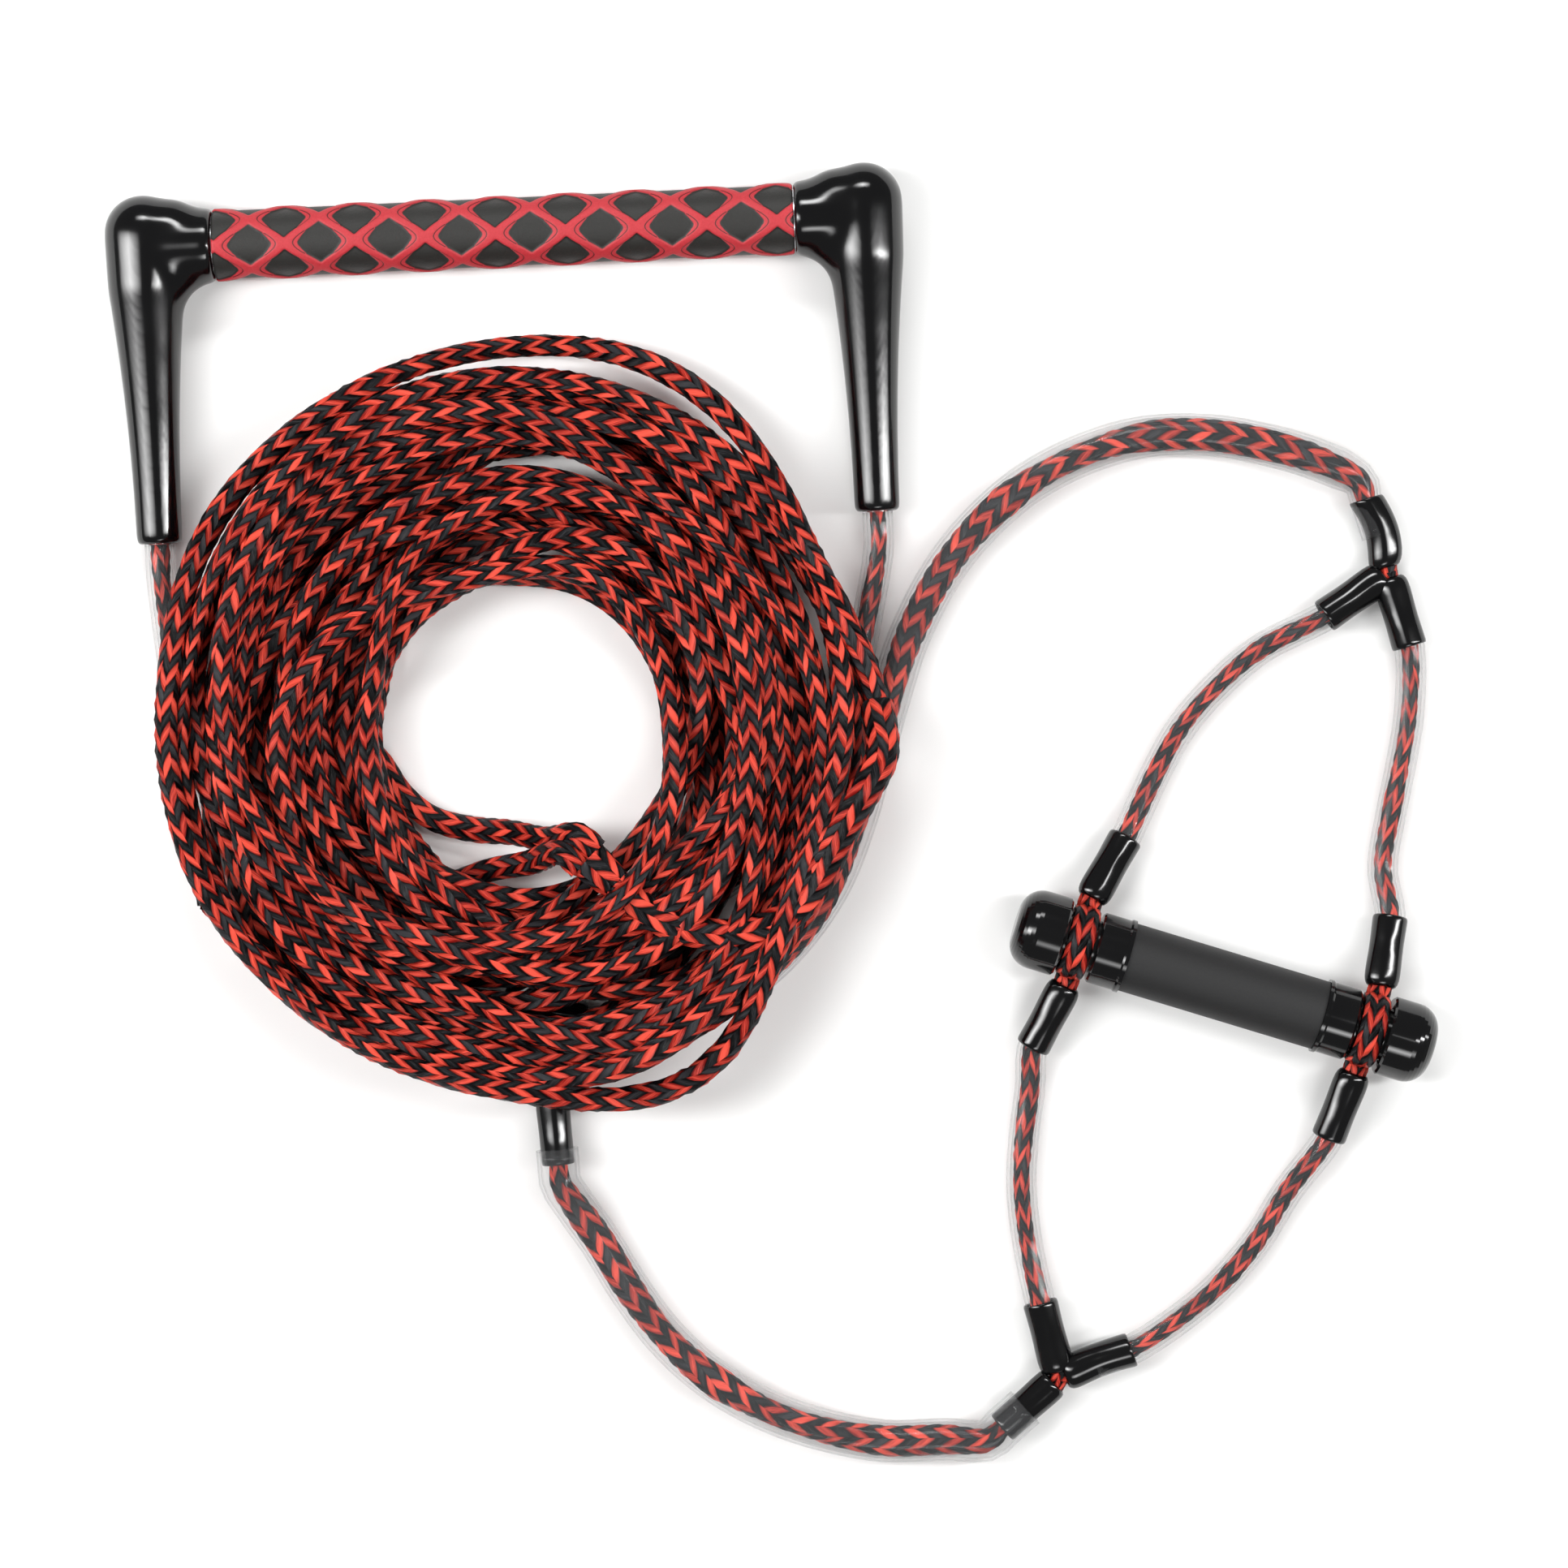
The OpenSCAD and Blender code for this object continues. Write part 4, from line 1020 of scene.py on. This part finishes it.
def loop_round(name, end, boots):
    """A flat ring of braid in the cap's groove, and a neck of it into each boot."""
    centre = np.array([*SHORT_MIDDLE, SHORT_HEIGHT]) + end * LOOP_AT * SHORT_AXIS
    angle = np.radians(np.linspace(-100, 260, 97))[:, None]
    out = np.cos(angle) * SHORT_SIDE + np.sin(angle) * np.array([0, 0, 1.0])
    line = centre + LOOP_RADIUS * out
    across = np.repeat(SHORT_AXIS[None], len(line), 0)
    ring = braided_rope(
        name + "_ring", from_bar(line), 5.6 * MM, 2.15 * MM, first=0.4, frames=(across, out))
    parts = [ring]
    for boot in boots:
        near, mouth, _ = BOOTS[boot]
        near, mouth = np.array(near, float), np.array(mouth, float)
        side = 1 if near[1] - centre[1] > 0 else -1
        start = centre + side * NECK_SIDE * SHORT_SIDE + np.array([0, 0, -NECK_DOWN])
        neck = smooth_line([start, near, near + 0.4 * (mouth - near)], 1.5)
        fade = np.linspace(0, 1, len(neck))
        half_wide, half_high = (5.2 - 1.2 * fade) * MM, (2.6 + 1.2 * fade) * MM
        parts.append(braided_rope(boot + "_neck", from_bar(neck), half_wide, half_high))
    loop = join(name, parts)
    dress(loop, polypropylene_braid)
    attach(loop, "line")
    return loop


left_loop = loop_round("left_loop_braid", -1, ["upper_left_loop_boot", "lower_left_loop_boot"])
right_loop = loop_round(
    "right_loop_braid", 1, ["upper_right_loop_boot", "lower_right_loop_boot"])
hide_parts("left_rope_loop")
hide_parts("right_rope_loop")

# %% [markdown]
# ## The end boots: forms and tools
# An end boot has a long tapering arm, a round knuckle and a collar on the bar. Turned as
# three solid forms, they would meet in hard corners, and a bevel can't round such a
# corner. So they are joined on a fine grid, and the skin is swelled and drawn back in
# small steps: that fills the corners in one soft curve, as thick liquid vinyl does.

# %% Forms of an end boot
# Millimetres: the arm beside the bar's middle, its length, and both heights
ARM_X, ARM_LENGTH, MOUTH_HEIGHT, BAR_HEIGHT = 137.5, 113.0, 9.6, BAR.z / MM
ARM_TOP, ARM_MOUTH, SHOULDER = 14.6, 8.9, 15.9
quarter = np.radians(np.linspace(0, 90, 13))
# Radius and distance along each form's own axis
ARM_PROFILE = [(15 * math.sin(a), -5.5 - 15 * math.cos(a)) for a in quarter] + [
    (ARM_MOUTH + (ARM_TOP - ARM_MOUTH) * (1 - t) ** 2, SHOULDER + t * (ARM_LENGTH - 2 - SHOULDER))
    for t in np.linspace(0, 1, 24)
] + [(9.0, 112.2), (8.5, 113.0), (0, 113.0)]
KNUCKLE_PROFILE = [(14.8 * math.sin(a), -14.8 * math.cos(a)) for a in quarter] + [
    (13.6 * math.cos(a), 10 + 13.6 * math.sin(a)) for a in quarter
]
COLLAR_PROFILE = [
    (0, -4), (12, -4), (14.3, 0), (14.3, 20), (14.45, 25.6), (14.3, 26.9), (0, 26.9),
]


def on_fine_grid(obj, grid_mm):
    """Makes one closed skin of all that overlaps in an object."""
    remesh = obj.modifiers.new("fine_grid", "REMESH")
    remesh.mode, remesh.voxel_size, remesh.use_smooth_shade = "VOXEL", grid_mm * MM, True
    bpy.ops.object.modifier_apply(modifier=remesh.name)


def swell_skin(obj, by_mm):
    """Moves the skin outwards, or inwards where the distance is negative."""
    swell = obj.modifiers.new("swell_skin", "DISPLACE")
    swell.mid_level, swell.strength, swell.direction = 0.0, by_mm * MM, "NORMAL"
    bpy.ops.object.modifier_apply(modifier=swell.name)


def relax(obj, rounds):
    """Evens out the skin."""
    smooth = obj.modifiers.new("relax", "SMOOTH")
    smooth.factor, smooth.iterations = 0.5, rounds
    bpy.ops.object.modifier_apply(modifier=smooth.name)


def bore_out(obj, start, direction, radius, depth):
    """Cuts a round hole."""
    cutter = turned("cutter", [(0, 0), (radius, 0), (radius, depth), (0, depth)])
    move_points(cutter, lambda p: stand_along(p, start, direction))
    bpy.context.view_layer.objects.active = obj
    cut = obj.modifiers.new("bore", "BOOLEAN")
    cut.operation, cut.object = "DIFFERENCE", cutter
    bpy.ops.object.modifier_apply(modifier=cut.name)
    bpy.data.objects.remove(cutter)


print("an arm narrows from", ARM_TOP, "to", ARM_MOUTH, "mm radius over", ARM_LENGTH, "mm")

# %% [markdown]
# ## The end boots
# Five steps of 2.2 mm out and back give the corners a radius of about 11 mm. The bores
# for the hose and the bar come after that, because the swelling would close them. A
# last, finer grid lets the rims of the bores be smooth too.

# %% End boots
GRID, FINAL_GRID, FILLET_STEPS, FILLET_STEP = 0.9, 0.75, 5, 2.2
# Radius and depth of the bore in the arm's mouth and of the one that takes the bar
MOUTH_BORE, BAR_BORE = (6.1, 18), (11.2, 11)
for side, sign in (("left", -1), ("right", 1)):
    down = np.array([0, -112.85, MOUTH_HEIGHT - BAR_HEIGHT])
    top = np.array([sign * ARM_X, 0, BAR_HEIGHT])
    inward = (-sign, 0, 0)
    forms = []
    for profile, start, direction in (
        (ARM_PROFILE, top, down),
        (KNUCKLE_PROFILE, top + [0, 5.0, 0], inward),
        (COLLAR_PROFILE, top, inward),
    ):
        forms.append(turned("boot_form", finer(profile, 2.0), 64))
        move_points(forms[-1], lambda p: stand_along(p, start, direction))
    boot = join(side + "_end_boot_dipped", forms)
    on_fine_grid(boot, GRID)
    for step in [FILLET_STEP] * FILLET_STEPS + [-FILLET_STEP] * FILLET_STEPS:
        swell_skin(boot, step)
        on_fine_grid(boot, GRID)
        relax(boot, 2)
    mouth = top + down / np.linalg.norm(down) * (ARM_LENGTH + 1)
    bore_out(boot, mouth, -down, *MOUTH_BORE)
    bore_out(boot, top + [-sign * 28, 0, 0], (sign, 0, 0), *BAR_BORE)
    bpy.ops.object.select_all(action="DESELECT")
    boot.select_set(True)
    bpy.context.view_layer.objects.active = boot
    on_fine_grid(boot, FINAL_GRID)
    relax(boot, 6)
    bpy.ops.object.shade_smooth()
    dress(boot, dipped_vinyl)
    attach(boot, "main_handle")
    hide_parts(side + "_end_boot")
    print(boot.name, len(boot.data.polygons), "faces")

# %% [markdown]
# ## The foam grip
# EVA foam in two colours: a red web stands 0.9 mm over charcoal. Its slanting lines cross
# every 26.7 mm along the grip and four times round it, and leave charcoal diamonds. They
# run steeper near each crossing, and there the web has a lower step in its side corners.
# A boolean could cut the diamonds, but its edges would be ragged on a round bar. Here a
# fine mesh is made instead, each of its points knows how far it is from the nearest
# line, and that distance gives its height and, in the material, its colour.

# %% Foam grip
GRIP_LENGTH = (grip_high[0] - grip_low[0]) / MM
GRIP_RADIUS = (grip_high[2] - grip_low[2]) / MM / 2
PITCH = 26.7
ROWS_ROUND = 8
LINE_BEND = 0.2
ROUND = 2 * math.pi * GRIP_RADIUS
WEB_HALF, WEB_HEIGHT = 1.4, 0.9
STEP_WIDE, STEP_DOWN = 1.2, 0.35
# Where the crossings nearest the camera lie: along the grip, and turned from level
CROSSING_AT, CROSSING_TURN = 82.7, math.radians(99)


def web_distance(x, y):
    """Distance in mm from the web's lines, and 0 to 1 for how far into a side corner."""
    row = y / (ROUND / ROWS_ROUND)
    bent = (row - LINE_BEND * np.sin(2 * np.pi * row) / (2 * np.pi)) / 2
    slope = PITCH / 2 / (ROUND / ROWS_ROUND) * (1 - LINE_BEND * np.cos(2 * np.pi * row))
    offs = []
    for sign in (1, -1):
        off = x / PITCH + sign * bent
        offs.append((off - np.round(off)) * PITCH / np.hypot(1, slope))
    first, second = np.abs(offs[0]), np.abs(offs[1])
    beside = offs[0] * offs[1] > 0
    corner = np.clip((8.2 - np.maximum(first, second)) / 3.0, 0, 1) * beside
    blend = 0.25 + 1.1 * corner
    best = -blend * np.log(np.exp(-first / blend) + np.exp(-second / blend))
    return best, corner


AROUND, ALONG = 200, 420
BORE_RADIUS = 11.15
# The web's side falls over 0.7 mm, and the grip's ends are rounded over 0.8 mm
SIDE_FALL, END_ROUND = 0.7, 0.8
theta = np.linspace(0, 2 * np.pi, AROUND, endpoint=False)
grip_x = np.linspace(-GRIP_LENGTH / 2, GRIP_LENGTH / 2, ALONG)
X, T = np.meshgrid(grip_x, theta, indexing="ij")
distance, corner = web_distance(X + CROSSING_AT, (T - CROSSING_TURN) * GRIP_RADIUS)
web_edge = WEB_HALF + STEP_WIDE * corner - distance
raised = np.clip((web_edge + SIDE_FALL / 2) / SIDE_FALL, 0, 1)
raised = raised * raised * (3 - 2 * raised)
# Inside each side corner the web has a lower step, with a groove along it
past_top = np.where(corner > 0.05, distance - WEB_HALF + 0.1, -9.0)
on_step = np.clip(past_top / 0.4 + 0.5, 0, 1)
R = GRIP_RADIUS - WEB_HEIGHT * (1 - raised) - STEP_DOWN * raised * on_step
edge_round = np.clip(1 - (GRIP_LENGTH / 2 - np.abs(X)) / END_ROUND, 0, 1)
R = R - 0.5 * edge_round**2
points = np.stack([X, R * np.cos(T), R * np.sin(T)], -1).reshape(-1, 3) * MM + np.array(BAR)
inner = np.stack([X, BORE_RADIUS * np.cos(T), BORE_RADIUS * np.sin(T)], -1)[[0, -1]]
inner = inner.reshape(-1, 3) * MM + np.array(BAR)
faces = []
for i in range(ALONG - 1):
    for j in range(AROUND):
        k = (j + 1) % AROUND
        faces.append((i * AROUND + j, i * AROUND + k, (i + 1) * AROUND + k, (i + 1) * AROUND + j))
base, last = ALONG * AROUND, (ALONG - 1) * AROUND
for j in range(AROUND):
    k = (j + 1) % AROUND
    faces.append((base + j, base + k, k, j))
    faces.append((last + j, last + k, base + AROUND + k, base + AROUND + j))
    faces.append((base + j, base + AROUND + j, base + AROUND + k, base + k))
mesh = bpy.data.meshes.new("foam_grip")
mesh.from_pydata([tuple(p) for p in np.vstack([points, inner])], [], faces)
for label, values in (("web_edge", web_edge), ("web_step", past_top)):
    layer = mesh.attributes.new(label, "FLOAT", "POINT")
    with_bore = np.concatenate([values.ravel(), np.full(2 * AROUND, 9.0)])
    layer.data.foreach_set("value", with_bore.astype(np.float32))
foam_grip = bpy.data.objects.new("foam_grip", mesh)
bpy.context.scene.collection.objects.link(foam_grip)
mesh.shade_smooth()
print("grip", round(GRIP_LENGTH, 1), "mm long,", len(mesh.polygons), "faces")

# %% [markdown]
# ## Two-colour EVA foam
# Closed-cell foam is matt, with cells just too fine to see, drawn here at 0.8 mm. The two
# distances that the mesh keeps pick the colour: red on the web, charcoal off it, and a
# dark line of painted shade in the groove where the web steps down.

# %% Material: two-colour EVA foam
eva_foam, tree, skin = new_material("eva_foam_red_over_charcoal")
edge = add_node(tree, "ShaderNodeAttribute", {"attribute_name": "web_edge"}).outputs["Fac"]
step_edge = add_node(tree, "ShaderNodeAttribute", {"attribute_name": "web_step"}).outputs["Fac"]
at = add_node(tree, "ShaderNodeTexCoord")
cells = add_node(tree, "ShaderNodeTexNoise", inputs={
    "Vector": at.outputs["Object"], "Scale": 1 / (0.8 * MM), "Detail": 3.0,
})
on_web = add_node(tree, "ShaderNodeMapRange", inputs={0: edge, 1: -0.15, 2: 0.15, 3: 0.0, 4: 1.0})
red_foam = add_node(tree, "ShaderNodeMix", {"data_type": "RGBA"}, {
    0: cells.outputs[0], 6: colour("#A51E27"), 7: colour("#C02F38"),
})
grey_foam = add_node(tree, "ShaderNodeMix", {"data_type": "RGBA"}, {
    0: cells.outputs[0], 6: colour("#151412"), 7: colour("#201F1C"),
})
foam = add_node(tree, "ShaderNodeMix", {"data_type": "RGBA"}, {
    0: on_web.outputs[0], 6: grey_foam.outputs[2], 7: red_foam.outputs[2],
})
# Painted shade: a dark red line in the groove along the web's lower step, which the bump also
# sinks
groove_painted_shade = add_node(tree, "ShaderNodeMath", {"operation": "COMPARE"}, {
    0: step_edge, 1: 0.1, 2: 0.17,
})
grooved = add_node(tree, "ShaderNodeMix", {"data_type": "RGBA"}, {
    0: groove_painted_shade.outputs[0], 6: foam.outputs[2], 7: colour("#5E0E14"),
})
tree.links.new(grooved.outputs[2], skin.inputs["Base Color"])
skin.inputs["Roughness"].default_value = 0.55
depth = add_node(tree, "ShaderNodeMath", {"operation": "MULTIPLY_ADD"}, {
    0: groove_painted_shade.outputs[0], 1: -3.0, 2: cells.outputs[0],
})
bump = add_node(tree, "ShaderNodeBump", inputs={
    "Height": depth.outputs[0], "Distance": 0.1 * MM, "Strength": 1.0,
})
tree.links.new(bump.outputs[0], skin.inputs["Normal"])
dress(foam_grip, eva_foam)
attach(foam_grip, "main_handle")
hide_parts("main_grip")
print("material:", eva_foam.name)

# %% [markdown]
# ## The solids that stay
# The short handle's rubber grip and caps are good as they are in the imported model, and
# so are the pieces hidden inside the handles. They only get their materials.

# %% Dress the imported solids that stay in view
STAYS = {
    "main_bar_tube": aluminium, "short_core_tube": aluminium, "short_grip": matt_rubber,
    "short_left_cap": moulded_cap, "short_right_cap": moulded_cap,
    "left_bar_bush": nylon, "right_bar_bush": nylon,
    "left_arm_sleeve": clear_pvc, "right_arm_sleeve": clear_pvc, "handle_rope": hidden_yarn,
}
for node, material in STAYS.items():
    dress(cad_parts[node], material)
print(len(STAYS), "solids keep their own mesh")

# %% [markdown]
# ## The hoses and ropes on their bodies
# Each hose and rope rides with the line, and the solid that it stands for in the imported
# model is hidden. The two bridle hoses and their ropes are not hung on the line, since they
# would also have to follow the wide handle; their places are baked into their points.

# %% Hoses and ropes on the line
for name, hose_parts in hoses.items():
    hose, hose_line = hose_parts
    rope, rope_line, rope_length = ropes[name]
    pieces = [rope_boots[b] for b in ON_EACH[name]]
    pieces += {
        "upper_line": [splices["bridle"], splices["upper"]], "lower_line": [splices["lower"]],
        "upper_left_leg": [left_loop], "upper_right_leg": [right_loop],
    }.get(name, [])
    declare(hose,
            name + "_hose")
    declare(rope,
            name + "_rope")
declare(coil_rope, "rope_coil")
declare(lead_rope, "line_lead")
declare(end_rope, "line_end")
declare(eye_rope, "boat_eye")
for side in (-1, 1):
    stem = "left_bridle" if side < 0 else "right_bridle"
    for piece in (hoses[stem][0], ropes[stem][0]):
        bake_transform(piece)

# %% [markdown]
# ## The floor
# The photograph was taken on white paper. A large white plane at z = 0 takes its place
# and catches the soft shadows.

# %% Floor
bpy.ops.object.select_all(action="DESELECT")
bpy.ops.mesh.primitive_plane_add(size=6, location=(0, 0, 0))
floor = bpy.context.object
floor.name = "floor"
paper, tree, skin = new_material("matt_white_paper")
skin.inputs["Base Color"].default_value = colour("#F4F4F3")
skin.inputs["Roughness"].default_value = 0.9
dress(floor, paper)
print("floor", [round(d) for d in floor.dimensions[:2]], "m")

# %% [markdown]
# ## The light
# Two long soft boxes at the sides give the white streaks on the glossy boots, and two
# panels fill in the rest. A real soft box is bright in its middle and fades towards its
# edges. A plain area lamp has a hard edge in every reflection, so a few nodes dim it. A
# faint white world stands for the rest of the room.

# %% Lights


# The product of the two fades averages a sixteenth, which this makes up for
FADE_GAIN = 16.0
ROOM_LIGHT = 0.2


def lamp(name, place, size, power, target=(0.0, -0.05, 0.02)):
    """A soft box, bright in its middle and fading towards its edges."""
    data = bpy.data.lights.new(name, "AREA")
    data.shape = "RECTANGLE"
    data.size, data.size_y = size
    data.energy = power
    data.use_nodes = True
    tree = data.node_tree
    spot = add_node(tree, "ShaderNodeSeparateXYZ", inputs={
        0: add_node(tree, "ShaderNodeNewGeometry").outputs["Parametric"],
    })
    fade = [
        add_node(tree, "ShaderNodeMath", {"operation": "PINGPONG"}, {0: spot.outputs[k], 1: 0.5})
        for k in (0, 1)
    ]
    both = add_node(tree, "ShaderNodeMath", {"operation": "MULTIPLY"}, {
        0: fade[0].outputs[0], 1: fade[1].outputs[0],
    })
    strength = add_node(tree, "ShaderNodeMath", {"operation": "MULTIPLY"}, {
        0: both.outputs[0], 1: FADE_GAIN,
    })
    tree.links.new(strength.outputs[0], tree.nodes["Emission"].inputs["Strength"])
    obj = bpy.data.objects.new(name, data)
    obj.location = place
    obj.rotation_euler = (Vector(target) - Vector(place)).to_track_quat("-Z", "Y").to_euler()
    bpy.context.scene.collection.objects.link(obj)
    return obj


lamp("left_strip", (-1.3, 0.1, 1.35), (0.7, 2.4), 34)
lamp("right_strip", (1.35, 0.0, 1.3), (0.22, 2.2), 22)
lamp("far_panel", (0.0, 1.7, 1.7), (1.6, 0.6), 20)
lamp("near_panel", (0.2, -1.5, 2.0), (1.6, 0.8), 12)
world = bpy.data.worlds.new("studio")
world.use_nodes = True
world.node_tree.nodes["Background"].inputs[0].default_value = (1, 1, 1, 1)
world.node_tree.nodes["Background"].inputs[1].default_value = ROOM_LIGHT
bpy.context.scene.world = world
bpy.context.scene.view_settings.view_transform = "Standard"
